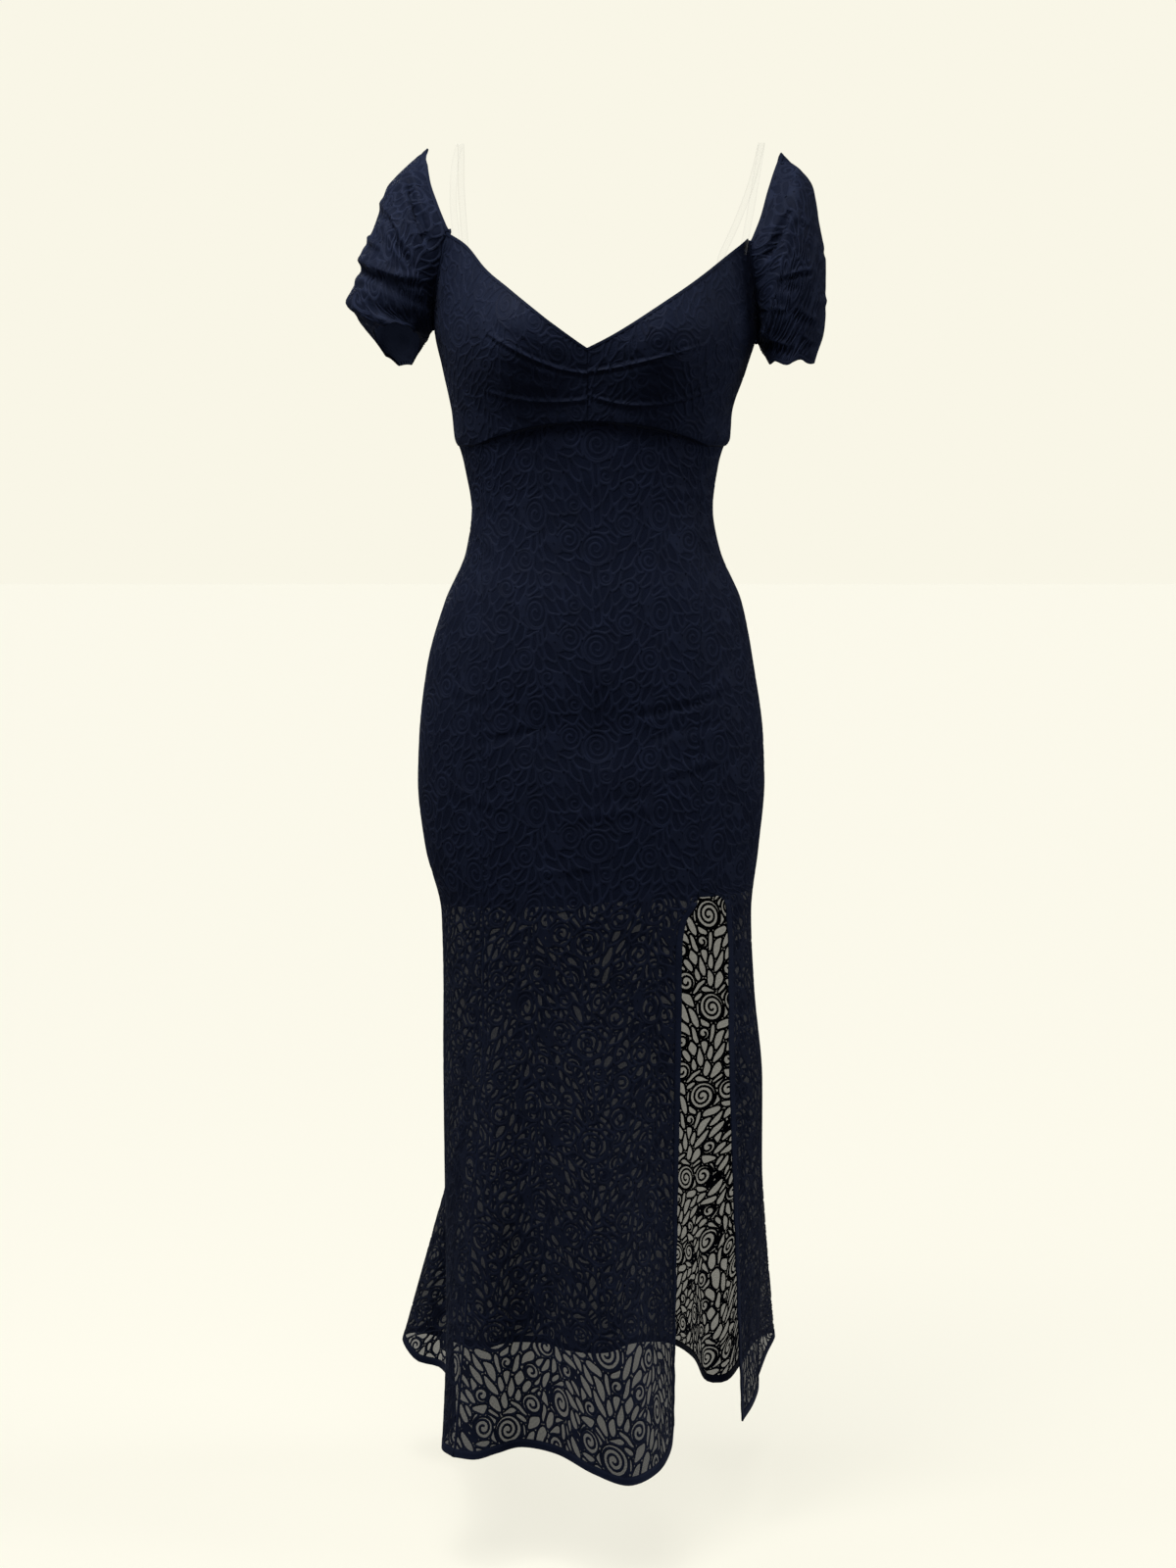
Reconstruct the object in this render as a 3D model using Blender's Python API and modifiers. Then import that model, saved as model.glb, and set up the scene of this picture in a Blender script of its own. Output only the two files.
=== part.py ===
# Lace maxi dress: V neck bodice with gathered cups, off-shoulder sleeves, lining to
# mid-thigh, trumpet skirt with a slit. Metres, +Z up, the front faces -Y, +X is the
# viewer's right. The origin is the middle of the body at bust level.
import math

import bmesh
import bpy
import numpy as np

MM = 0.001

# ---------------------------------------------------------------- sizes, mm
WALL = 1.2            # lace cloth
LINING_WALL = 1.0
LINING_INSET = 3.4    # outside of the lining, in from the outside of the lace
SEAM = 0.21           # each piece stops this far from a seam line
STRAP_WIDTH = 7.0
STRAP_WALL = 1.0

EMPIRE_CENTRE = -79.0     # height of the empire seam at centre front
EMPIRE_DROP = 20.0        # how far the arch falls
EMPIRE_SPAN = 110.0       # half width over which it falls
UNDERARM = {"left": 17.0, "right": 3.0}
CORNER = {"left": 107.0, "right": 101.0}      # neckline corner height
CORNER_ANGLE = {"left": 64.0, "right": 71.0}  # degrees round from centre front
BACK_TOP = 0.0                                # bottom of the scoop at centre back
BACK_CORNER_ANGLE = 122.0
BODY_TOP = -104.0         # first skirt row at the sides
HEM = -1094.0
LINING_TOP = -125.0
LINING_HEM = -553.0
LINING_TILT = 10.0
PRINCESS = 108.0          # princess seam, out from the middle
SLIT_TOP = -540.0

# Body sections: half widths, depths in front and behind, squareness (2 = ellipse)
SECTION_COLUMNS = ("z", "left", "right", "front", "back", "square")
SECTIONS = (
    (115.0, 158.0, 163.0, 92.0, 92.0, 2.2),
    (60.0, 158.5, 166.0, 101.0, 98.0, 2.2),
    (18.0, 157.5, 167.0, 104.0, 97.0, 2.2),
    (-25.0, 149.0, 156.0, 100.0, 91.0, 2.2),
    (-68.0, 140.0, 142.0, 95.0, 84.0, 2.2),
    (-97.0, 136.5, 139.5, 91.0, 80.0, 2.2),
    (-104.0, 133.0, 134.0, 89.5, 78.5, 2.2),
    (-130.0, 126.0, 127.0, 87.5, 76.0, 2.2),
    (-165.0, 120.5, 123.0, 86.0, 74.0, 2.2),
    (-204.0, 125.5, 130.0, 88.0, 79.0, 2.2),
    (-258.0, 148.0, 152.5, 95.0, 98.0, 2.2),
    (-322.0, 166.0, 165.0, 101.0, 117.0, 2.2),
    (-395.0, 174.5, 175.0, 105.0, 126.0, 2.2),
    (-440.0, 176.0, 176.5, 105.0, 123.0, 2.2),
    (-505.0, 169.0, 171.0, 106.0, 112.0, 2.2),
    (-575.0, 152.5, 163.5, 108.0, 103.0, 2.2),
    (-650.0, 151.0, 167.0, 112.0, 99.0, 2.2),
    (-750.0, 152.0, 176.0, 118.0, 98.0, 2.2),
    (-900.0, 153.0, 177.0, 127.0, 100.0, 2.2),
    (-1120.0, 153.0, 178.0, 134.0, 104.0, 2.2),
)

# Cup fullness: apex place, how far it stands out, how it fades each way
CUP_COLUMNS = ("x", "z", "out", "wide", "above", "below")
CUPS = (
    (-80.0, -4.0, 40.0, 40.0, 52.0, 40.0),
    (78.0, -4.0, 40.0, 40.0, 52.0, 40.0),
)

# Gathers that run out from the centre-front seam: height at the seam, climb per mm going
# out on each side, reach, ridge height and ridge width
GATHER_COLUMNS = ("z", "climb_left", "climb_right", "reach", "height", "width")
GATHERS = (
    (-21.0, 0.08, 0.20, 105.0, 4.0, 8.0),
    (-37.0, 0.05, 0.04, 60.0, -3.0, 7.0),
    (-49.0, 0.00, -0.05, 95.0, 4.0, 7.0),
    (-64.0, -0.06, -0.08, 70.0, -2.5, 7.0),
)

# Neckline height by share of the way from the centre-front V to the corner
NECK_COLUMNS = ("share", "left", "right")
NECKLINE = (
    (0.00, -9.0, -9.0),
    (0.20, 22.0, 16.0),
    (0.40, 49.0, 42.0),
    (0.60, 70.0, 64.0),
    (0.80, 93.0, 84.0),
    (1.00, 107.0, 101.0),
)

# Free edges of the slit: distance out from the middle at each height
SLIT_COLUMNS = ("z", "front_edge", "side_edge")
SLIT = (
    (-540.0, 108.0, 108.0),
    (-553.0, 106.0, 133.0),
    (-572.0, 95.0, 136.0),
    (-600.0, 90.5, 138.0),
    (-700.0, 90.0, 138.5),
    (-850.0, 88.0, 139.0),
    (-1120.0, 86.0, 140.0),
)

# Folds at the hem, one row each, panel by panel, from its first seam to its last.
# start is the height where the fold begins to leave the body's shape, and bend is how
# late it opens (1 is a straight cone).
FOLD_COLUMNS = ("x", "y", "z", "start", "bend")
FOLDS = {
    "side_front_left": (
        (-139.0, -46.0, -1094.0, -700.0, 1.25),     # side seam, pulled in
        (-146.0, -92.0, -1094.0, -700.0, 1.25),
        (-148.0, -136.0, -1094.0, -700.0, 1.25),    # turned edge seen from the front
        (-136.0, -163.0, -1094.0, -680.0, 1.25),    # princess seam
    ),
    "front_panel": (
        (-135.0, -163.5, -1094.0, -680.0, 1.25),
        (-113.0, -171.0, -1094.0, -660.0, 1.25),    # first flute
        (-92.0, -160.0, -1091.0, -660.0, 1.25),
        (-68.0, -147.0, -1089.0, -660.0, 1.25),     # hollow between the flutes
        (-33.0, -164.0, -1091.0, -660.0, 1.25),
        (2.0, -194.0, -1101.0, -640.0, 1.25),
        (36.0, -206.0, -1109.0, -640.0, 1.25),      # second, larger flute
        (64.0, -184.0, -1104.0, -640.0, 1.25),
        (79.0, -130.0, -1099.0, -640.0, 1.25),
        (84.5, -62.0, -1092.0, -640.0, 1.25),       # slit edge, turned back
    ),
    "side_front_right": (
        (155.0, -44.0, -1094.0, -700.0, 1.25),      # slit edge
        (168.0, 8.0, -1093.0, -700.0, 1.25),
        (177.0, 62.0, -1092.0, -700.0, 1.25),
        (179.0, 100.0, -1088.0, -700.0, 1.25),      # side seam
    ),
    "back_panel": (
        (179.5, 101.0, -1088.0, -700.0, 1.25),      # side seam
        (191.0, 150.0, -1078.0, -690.0, 1.25),
        (202.0, 184.0, -1068.0, -690.0, 1.25),      # side flute
        (197.0, 206.0, -1070.0, -690.0, 1.25),
        (181.0, 198.0, -1076.0, -700.0, 1.25),
        (164.0, 150.0, -1086.0, -720.0, 1.25),
        (148.0, 100.0, -1091.0, -720.0, 1.25),      # folds forward, seen through the slit
        (134.0, 88.0, -1092.0, -720.0, 1.25),
        (122.0, 104.0, -1092.0, -720.0, 1.25),
        (112.0, 170.0, -1087.0, -700.0, 1.25),
        (86.0, 232.0, -1088.0, -680.0, 1.25),       # back flute
        (46.0, 236.0, -1090.0, -680.0, 1.25),
        (18.0, 198.0, -1090.0, -680.0, 1.25),       # hollow
        (-22.0, 204.0, -1090.0, -680.0, 1.25),
        (-52.0, 244.0, -1092.0, -680.0, 1.25),      # back flute
        (-92.0, 240.0, -1090.0, -680.0, 1.25),
        (-122.0, 198.0, -1086.0, -700.0, 1.25),     # hollow
        (-158.0, 214.0, -1080.0, -690.0, 1.0),
        (-190.0, 224.0, -1074.0, -690.0, 0.9),     # side flute
        (-207.0, 192.0, -1072.0, -690.0, 0.9),
        (-190.0, 154.0, -1086.0, -690.0, 1.0),
        (-162.0, 136.0, -1090.0, -680.0, 1.25),
        (-147.0, 62.0, -1092.0, -700.0, 1.25),
        (-139.5, -45.0, -1094.0, -700.0, 1.25),     # side seam
    ),
}
# Sleeve rings: outer (top) point and inner (underarm) point seen from the front, half
# depth, how far the front of the ring is lifted and how far its back hangs down
SLEEVE_COLUMNS = ("out_x", "out_z", "in_x", "in_z", "depth", "rise", "drop")
SLEEVES = {
    "left": (
        (-183.0, 178.0, -159.5, 14.0, 58.0, 0.0, 0.0),
        (-200.5, 160.0, -161.0, 12.0, 61.0, 0.0, 0.0),
        (-208.0, 142.0, -162.0, 11.0, 63.0, 1.0, 2.0),
        (-216.0, 118.0, -162.5, 10.0, 64.0, 2.0, 4.0),
        (-228.0, 94.0, -163.0, 9.0, 62.0, 3.0, 7.0),
        (-234.0, 68.0, -163.5, 8.0, 60.0, 4.0, 10.0),
        (-242.0, 47.0, -164.5, 7.0, 56.0, 6.0, 14.0),
        (-237.0, 33.0, -166.5, 6.0, 50.0, 9.0, 18.0),
        (-218.0, 14.0, -172.0, 5.0, 43.0, 12.0, 27.0),
    ),
    "right": (
        (204.0, 177.0, 168.5, -1.0, 58.0, 0.0, 0.0),
        (219.0, 160.0, 169.0, -2.0, 61.0, 0.0, 0.0),
        (224.0, 142.0, 169.5, -3.0, 62.0, 1.0, 1.0),
        (228.0, 120.0, 170.0, -4.0, 62.0, 1.0, 2.0),
        (234.0, 88.0, 170.5, -5.0, 61.0, 1.0, 3.0),
        (235.0, 58.0, 171.0, -6.0, 58.0, 1.0, 4.0),
        (235.0, 28.0, 172.0, -7.0, 54.0, 2.0, 4.0),
        (232.0, 6.0, 174.0, -9.0, 49.0, 2.0, 5.0),
        (224.0, -14.0, 178.0, -14.0, 44.0, 2.0, 5.0),
    ),
}
# Free edge of the sleeve from the neckline corner to the shoulder: share, x, z
SHOULDER_COLUMNS = ("share", "x", "z")
SHOULDER = {
    "left": ((0.0, -145.0, 109.0), (0.33, -156.0, 136.0), (0.66, -164.5, 162.0),
             (0.88, -167.0, 182.0), (1.0, -163.0, 195.0)),
    "right": ((0.0, 158.0, 99.0), (0.33, 168.0, 124.0), (0.66, 176.0, 152.0),
              (0.88, 184.0, 176.0), (1.0, 190.0, 191.0)),
}
# Clear strap route, front to back
STRAP_COLUMNS = ("x", "y", "z")
STRAPS = {
    "left": ((-131.5, -70.0, 92.0), (-133.0, -66.0, 104.0), (-136.0, -55.0, 135.0),
             (-135.0, -34.0, 172.0), (-131.0, -8.0, 197.0), (-131.0, 24.0, 194.0),
             (-132.0, 50.0, 162.0), (-130.0, 62.0, 125.0), (-128.0, 66.5, 94.0),
             (-127.0, 67.5, 84.0)),
    "right": ((150.0, -60.0, 86.0), (152.0, -57.0, 98.0), (158.0, -48.0, 130.0),
              (165.0, -30.0, 170.0), (170.0, -6.0, 198.0), (170.0, 24.0, 195.0),
              (162.0, 46.0, 162.0), (148.0, 58.0, 125.0), (134.0, 65.0, 94.0),
              (132.0, 66.5, 84.0)),
}

COLOURS = {               # base colour, roughness
    "lace": ((0.008, 0.011, 0.028), 0.72),
    "lining": ((0.006, 0.008, 0.018), 0.55),
    "clear_strap": ((0.85, 0.83, 0.80), 0.12),
}

# ---------------------------------------------------------------- tables
def smooth(xs, ys, x):
    """Values between table rows, without overshoot."""
    xs, ys = np.asarray(xs, float), np.asarray(ys, float)
    if xs[0] > xs[-1]:
        xs, ys = xs[::-1], ys[::-1]
    h, d = np.diff(xs), np.diff(ys) / np.diff(xs)
    m = np.zeros_like(ys)
    m[0], m[-1] = d[0], d[-1]
    same = d[:-1] * d[1:] > 0
    w1, w2 = 2 * h[1:] + h[:-1], h[1:] + 2 * h[:-1]
    with np.errstate(divide="ignore", invalid="ignore"):
        m[1:-1] = np.where(same, (w1 + w2) / (w1 / d[:-1] + w2 / d[1:]), 0.0)
    x = np.clip(x, xs[0], xs[-1])
    i = np.clip(np.searchsorted(xs, x) - 1, 0, len(xs) - 2)
    t = (x - xs[i]) / h[i]
    return ((1 + 2 * t) * (1 - t) ** 2 * ys[i] + t * (1 - t) ** 2 * h[i] * m[i]
            + t * t * (3 - 2 * t) * ys[i + 1] + t * t * (t - 1) * h[i] * m[i + 1])


def column(rows, names, name):
    return [row[names.index(name)] for row in rows]


def section(name, z):
    return smooth(column(SECTIONS, SECTION_COLUMNS, "z"),
                  column(SECTIONS, SECTION_COLUMNS, name), z)


def spline(points, shares):
    """A smooth curve through points, read at shares of its length."""
    p = np.asarray(points, float)
    ext = np.vstack([2 * p[0] - p[1], p, 2 * p[-1] - p[-2]])
    dense = []
    for i in range(1, len(ext) - 2):
        a, b, c, d = ext[i - 1:i + 3]
        t = np.linspace(0, 1, 24, endpoint=False)[:, None]
        dense.append(0.5 * (2 * b + (c - a) * t + (2 * a - 5 * b + 4 * c - d) * t * t
                            + (3 * b - a - 3 * c + d) * t ** 3))
    dense = np.vstack(dense + [p[-1:]])
    run = np.concatenate([[0], np.cumsum(np.linalg.norm(np.diff(dense[:, :2], axis=0), axis=1))])
    return np.array([np.interp(np.asarray(shares) * run[-1], run, dense[:, k])
                     for k in range(p.shape[1])]).T


# ---------------------------------------------------------------- body form
ROUND = np.radians(np.linspace(-180.0, 180.0, 721))   # 0 is centre front, + is right


def body_ring(z, inset=0.0):
    s, c = np.sin(ROUND), np.cos(ROUND)
    p = 2.0 / section("square", z)
    x = np.where(s > 0, section("right", z) - inset, section("left", z) - inset) \
        * np.sign(s) * np.abs(s) ** p
    y = np.where(c > 0, -(section("front", z) - inset), section("back", z) - inset) * np.abs(c) ** p
    for cup in CUPS:
        cx, cz, out, wide, above, below = cup
        fade = np.exp(-0.5 * ((x - cx) / wide) ** 2) \
            * math.exp(-0.5 * ((z - cz) / (above if z > cz else below)) ** 2)
        y = y - np.where(c > 0, out * fade * np.clip(c * 3.0, 0, 1), 0.0)
    for z0, climb_left, climb_right, reach, height, width in GATHERS:
        ridge = z0 + np.where(x > 0, climb_right * x, -climb_left * x)
        y = y - np.where(c > 0, height * np.exp(-((z - ridge) / width) ** 2 - (x / reach) ** 2), 0.0)
    return x, y


def angle_at_x(z, x_wanted):
    x, _ = body_ring(z)
    front = np.abs(ROUND) <= math.pi / 2 + 1e-9
    return float(np.interp(x_wanted, x[front], ROUND[front]))


def along(z, start, end, shares, inset=0.0):
    """Points on the body's ring between two angles, evenly spaced by share."""
    x, y = body_ring(z, inset)
    if end > math.pi:                       # across the back
        x, y = np.concatenate([x, x[1:]]), np.concatenate([y, y[1:]])
        turn = np.concatenate([ROUND, ROUND[1:] + 2 * math.pi])
    else:
        turn = ROUND
    fine = np.linspace(start, end, 160)
    fx, fy = np.interp(fine, turn, x), np.interp(fine, turn, y)
    run = np.concatenate([[0], np.cumsum(np.hypot(np.diff(fx), np.diff(fy)))])
    want = np.asarray(shares) * run[-1]
    return np.interp(want, run, fx), np.interp(want, run, fy), run[-1]


def empire(x):
    return EMPIRE_CENTRE - EMPIRE_DROP * (np.minimum(np.abs(x), 115.0) / EMPIRE_SPAN) ** 2


def slit(name, z):
    return float(smooth(column(SLIT, SLIT_COLUMNS, "z"), column(SLIT, SLIT_COLUMNS, name), z))


def edges(panel, z):
    """The two edges of a skirt panel, as angles, at a height."""
    right = slit("front_edge", z) if z < SLIT_TOP else PRINCESS
    side = slit("side_edge", z) if z < SLIT_TOP else PRINCESS
    a = {
        "side_front_left": (-math.pi / 2, angle_at_x(z, -PRINCESS)),
        "front_panel": (angle_at_x(z, -PRINCESS), angle_at_x(z, right)),
        "side_front_right": (angle_at_x(z, side), math.pi / 2),
        "back_panel": (math.pi / 2, 1.5 * math.pi),
    }
    return a[panel]


def skirt(panel, z, shares):
    """Skirt points: the body's ring above, opening into the folds of the hem below."""
    start, end = edges(panel, z)
    x, y, length = along(z, start, end, shares)
    gap = SEAM / length
    even = gap + np.asarray(shares) * (1 - 2 * gap)
    x, y, _ = along(z, start, end, even)
    hem = spline(FOLDS[panel], even)
    begin = hem[:, 3]
    g = np.clip((begin - z) / (begin - HEM), 0, 1.0) ** hem[:, 4]
    zz = z + (hem[:, 2] - HEM) * np.clip((begin - z) / (begin - HEM), 0, 1) ** 2
    return np.stack([x + (hem[:, 0] - x) * g, y + (hem[:, 1] - y) * g, zz], axis=1)


def skirt_grid(panel, columns, rows):
    shares = np.linspace(0, 1, columns + 1)
    grid = []
    top = BODY_TOP
    for z in rows:
        pts = skirt(panel, z, shares)
        # the top rows follow the arch of the empire seam
        reach = np.clip(1 - (top - z) / 120.0, 0, 1) ** 2
        if reach > 0 and panel != "back_panel":
            pts[:, 2] += (empire(pts[:, 0]) - 2 * SEAM - top) * reach
        elif reach > 0:
            pts[:, 2] += (empire(140.0) - 2 * SEAM - top) * reach
        grid.append(pts)
    return np.array(grid)


# ---------------------------------------------------------------- bodice
def side_edge(side, z):
    """Angle of the bodice's outer edge: side seam, then the armhole up to the corner."""
    low, high = UNDERARM[side], CORNER[side]
    t = min(max((z - low) / (high - low), 0.0), 1.0)
    turn = CORNER_ANGLE[side] + (90.0 - CORNER_ANGLE[side]) * (1 - t) ** 1.6
    return math.radians(turn)


def back_edge(side, z):
    low, high = UNDERARM[side], CORNER[side]
    t = min(max((z - low) / (high - low), 0.0), 1.0)
    turn = BACK_CORNER_ANGLE + (90.0 - BACK_CORNER_ANGLE) * (1 - t) ** 1.6
    return math.radians(turn)


def cup_point(side, z, share):
    sign = -1.0 if side == "left" else 1.0
    edge = side_edge(side, z)
    centre = math.radians(-1.0)
    start, end = (centre, edge) if sign > 0 else (-edge, centre)
    _, _, length = along(z, start, end, [0.0])
    gap = SEAM / length
    s = gap + share * (1 - 2 * gap)
    if sign < 0:
        s = 1 - s
    x, y, _ = along(z, start, end, [s])
    return x[0], y[0]


def cup_grid(side, columns, rows):
    """Rows run from the empire seam to the neckline, columns from the centre seam out."""
    shares = np.linspace(0, 1, columns + 1)
    grid = []
    for v in np.linspace(0, 1, rows + 1):
        line = []
        for u in shares:
            top = float(smooth(column(NECKLINE, NECK_COLUMNS, "share"),
                               column(NECKLINE, NECK_COLUMNS, side), u))
            x, _ = cup_point(side, -95.0, u)
            bottom = float(empire(x)) + SEAM
            z = bottom + (top - bottom) * v
            x, y = cup_point(side, z, u)
            line.append((x, y, z))
        grid.append(line)
    return np.array(grid)


def back_grid(columns, rows):
    grid = []
    for v in np.linspace(0, 1, rows + 1):
        line = []
        for u in np.linspace(0, 1, columns + 1):
            side = "right" if u < 0.5 else "left"
            reach = abs(2 * u - 1) ** 2
            top = BACK_TOP + (CORNER[side] - BACK_TOP) * reach
            bottom = float(empire(140.0)) + SEAM
            z = bottom + (top - bottom) * v
            start, end = back_edge("right", z), 2 * math.pi - back_edge("left", z)
            _, _, length = along(z, start, end, [0.0])
            gap = SEAM / length
            x, y, _ = along(z, start, end, [gap + u * (1 - 2 * gap)])
            line.append((x[0], y[0], z))
        grid.append(line)
    return np.array(grid)


def lining_grid(start_deg, end_deg, columns, rows):
    grid = []
    shares = np.linspace(0.0015, 0.9985, columns + 1)
    for z in rows:
        x, y, _ = along(z, math.radians(start_deg), math.radians(end_deg), shares, LINING_INSET)
        if z == LINING_HEM:                 # the hem hangs a little lower on the left
            low = z - LINING_TILT * np.clip(-x / 150.0, -0.4, 1.0)
            spot = [along(zz, math.radians(start_deg), math.radians(end_deg), [u], LINING_INSET)
                    for zz, u in zip(low, shares)]
            x, y = np.array([p[0][0] for p in spot]), np.array([p[1][0] for p in spot])
            z = low
        grid.append(np.stack([x, y, z + 0.0 * x], axis=1))
    return np.array(grid)


# ---------------------------------------------------------------- sleeves
def armhole_ring(side, count):
    """First ring of a sleeve: shoulder edge to the corner, then the armhole, both ways."""
    sign = -1.0 if side == "left" else 1.0
    pts = []
    for k in range(count):
        a = 2 * math.pi * k / count                # 0 top, 90 front, 180 underarm
        front = math.sin(a) >= 0
        up = math.cos(a)
        if up >= 0:                                # free edge over the shoulder
            t = 2 * math.asin(min(up, 1.0)) / math.pi
            rows = SHOULDER[side]
            x = float(smooth(column(rows, SHOULDER_COLUMNS, "share"),
                             column(rows, SHOULDER_COLUMNS, "x"), t))
            z = float(smooth(column(rows, SHOULDER_COLUMNS, "share"),
                             column(rows, SHOULDER_COLUMNS, "z"), t))
            if front:
                edge = side_edge(side, CORNER[side])
            else:
                edge = back_edge(side, CORNER[side])
            bx, by = ring_point(CORNER[side], sign * edge)
            y = by * math.cos(t * math.pi / 2) ** 0.8 if t < 1 else 0.0
            if not front:
                x = bx + (x - rows[0][1]) * 1.0 + (rows[0][1] - bx) * t
            pts.append((x, y, z))
        else:                                      # armhole seam
            t = 1 + up                             # 1 at the corner, 0 at the underarm
            low, high = UNDERARM[side], CORNER[side]
            if front:
                z = low + (high - low) * t
                edge = side_edge(side, z)
            else:
                z = low + (high - low) * t
                edge = back_edge(side, z)
            x, y = ring_point(z, sign * edge)
            out = 2 * SEAM + 1.6
            pts.append((x + sign * out, y, z - 1.2))
    return np.array(pts)


def ring_point(z, angle):
    x, y = body_ring(z)
    return float(np.interp(angle, ROUND, x)), float(np.interp(angle, ROUND, y))


def sleeve_grid(side, count):
    rings = [armhole_ring(side, count)]
    angles = 2 * math.pi * np.arange(count) / count
    for row in SLEEVES[side]:
        ox, oz, ix, iz, depth, rise, drop = row
        c, s = np.cos(angles), np.sin(angles)
        x = (ox + ix) / 2 + (ox - ix) / 2 * np.sign(c) * np.abs(c) ** 0.9
        z = (oz + iz) / 2 + (oz - iz) / 2 * c + np.where(s > 0, rise, drop) * s
        y = -depth * np.sign(s) * np.abs(s) ** 0.9
        rings.append(np.stack([x, y, z], axis=1))
    return np.array(rings)


def strap_grid(side):
    route = spline(STRAPS[side], np.linspace(0, 1, 19))
    t = np.gradient(route, axis=0)
    t /= np.linalg.norm(t, axis=1)[:, None]
    across = np.cross(t, np.array([1.0, 0, 0]))        # faces away from the body
    across = np.cross(across, t)
    across /= np.linalg.norm(across, axis=1)[:, None]
    sides = [route + across * STRAP_WIDTH * k for k in (-0.5, 0.5)]
    return np.array(sides)


# ---------------------------------------------------------------- objects
def material(name):
    found = bpy.data.materials.get(name)
    if found:
        return found
    mat = bpy.data.materials.new(name)
    mat.use_nodes = True
    colour, rough = COLOURS[name]
    shader = mat.node_tree.nodes["Principled BSDF"]
    shader.inputs["Base Color"].default_value = (*colour, 1.0)
    shader.inputs["Roughness"].default_value = rough
    shader.inputs["Metallic"].default_value = 0.0
    if name == "clear_strap":
        shader.inputs["Transmission Weight"].default_value = 0.9
    return mat


def cloth(name, grid, look, wall, closed=False):
    """A wall of cloth: the grid is its outer face, the wall goes inwards."""
    bm = bmesh.new()
    rows, columns = grid.shape[:2]
    verts = [[bm.verts.new(tuple(float(c) * MM for c in grid[i, j])) for j in range(columns)]
             for i in range(rows)]
    last = columns if closed else columns - 1
    for i in range(rows - 1):
        for j in range(last):
            k = (j + 1) % columns
            bm.faces.new((verts[i][j], verts[i][k], verts[i + 1][k], verts[i + 1][j]))
    mesh = bpy.data.meshes.new(name)
    bm.to_mesh(mesh)
    bm.free()
    mesh.shade_smooth()
    obj = bpy.data.objects.new(name, mesh)
    obj.data.materials.append(material(look))
    FORM.objects.link(obj)
    solid = obj.modifiers.new("wall", "SOLIDIFY")
    solid.thickness = wall * MM
    solid.offset = -1.0
    obj.parent = ROOT
    return obj


for old in list(bpy.data.objects):
    bpy.data.objects.remove(old, do_unlink=True)

FORM = bpy.data.collections.new("lace_maxi_dress")
bpy.context.scene.collection.children.link(FORM)
ROOT = bpy.data.objects.new("dress_origin", None)
FORM.objects.link(ROOT)

UPPER_ROWS = [BODY_TOP] + list(np.linspace(LINING_TOP, SLIT_TOP, 11))
LOWER_ROWS = [-553.0, -572.0, -605.0] + list(np.linspace(-665.0, HEM, 8))
SKIRT_ROWS = UPPER_ROWS + LOWER_ROWS
SKIRT_COLUMNS = {"front_panel": 18, "side_front_left": 6, "side_front_right": 6, "back_panel": 24}

for panel, count in SKIRT_COLUMNS.items():
    grid = skirt_grid(panel, count, SKIRT_ROWS)
    cloth(panel, grid[::-1], "lace", WALL)

for side in ("left", "right"):
    grid = cup_grid(side, 11, 10)
    if side == "left":
        grid = grid[:, ::-1]
    cloth("cup_" + side, grid, "lace", WALL)

cloth("back_bodice", back_grid(12, 10), "lace", WALL)
LINING_ROWS = UPPER_ROWS[1:] + [LINING_HEM]
cloth("lining_front", lining_grid(-90.0, 90.0, 14, LINING_ROWS)[::-1], "lining", LINING_WALL)
cloth("lining_back", lining_grid(90.0, 270.0, 14, LINING_ROWS)[::-1], "lining", LINING_WALL)

for side in ("left", "right"):
    grid = sleeve_grid(side, 16)
    if side == "left":
        grid = grid[:, ::-1]
    cloth("sleeve_" + side, grid[::-1], "lace", WALL, closed=True)
    cloth("strap_" + side, strap_grid(side), "clear_strap", STRAP_WALL)
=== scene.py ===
# Looks of the lace maxi dress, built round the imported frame. Metres in the scene,
# millimetres in the tables. +Z up, the front faces -Y, +X is the viewer's right.
import math

import bpy
import numpy as np
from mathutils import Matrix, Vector


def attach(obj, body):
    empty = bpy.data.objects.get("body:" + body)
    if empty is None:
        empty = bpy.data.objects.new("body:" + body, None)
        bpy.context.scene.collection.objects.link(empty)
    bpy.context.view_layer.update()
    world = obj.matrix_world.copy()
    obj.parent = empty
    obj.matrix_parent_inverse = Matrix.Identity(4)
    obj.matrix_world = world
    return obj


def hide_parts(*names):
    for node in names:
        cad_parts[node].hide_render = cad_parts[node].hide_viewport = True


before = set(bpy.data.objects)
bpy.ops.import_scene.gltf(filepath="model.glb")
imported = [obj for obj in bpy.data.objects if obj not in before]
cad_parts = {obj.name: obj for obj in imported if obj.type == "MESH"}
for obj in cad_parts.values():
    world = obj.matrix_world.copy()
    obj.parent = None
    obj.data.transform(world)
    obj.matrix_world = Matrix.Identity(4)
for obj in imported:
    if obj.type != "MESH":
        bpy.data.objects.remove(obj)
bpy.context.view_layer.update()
MM = 0.001

# ---------------------------------------------------------------- sizes, mm
WALL = 1.2            # lace cloth
LINING_WALL = 1.0
LINING_INSET = 3.4    # outside of the lining, in from the outside of the lace
SEAM = 0.21           # each piece stops this far from a seam line
STRAP_WIDTH = 7.0
STRAP_WALL = 1.0

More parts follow.
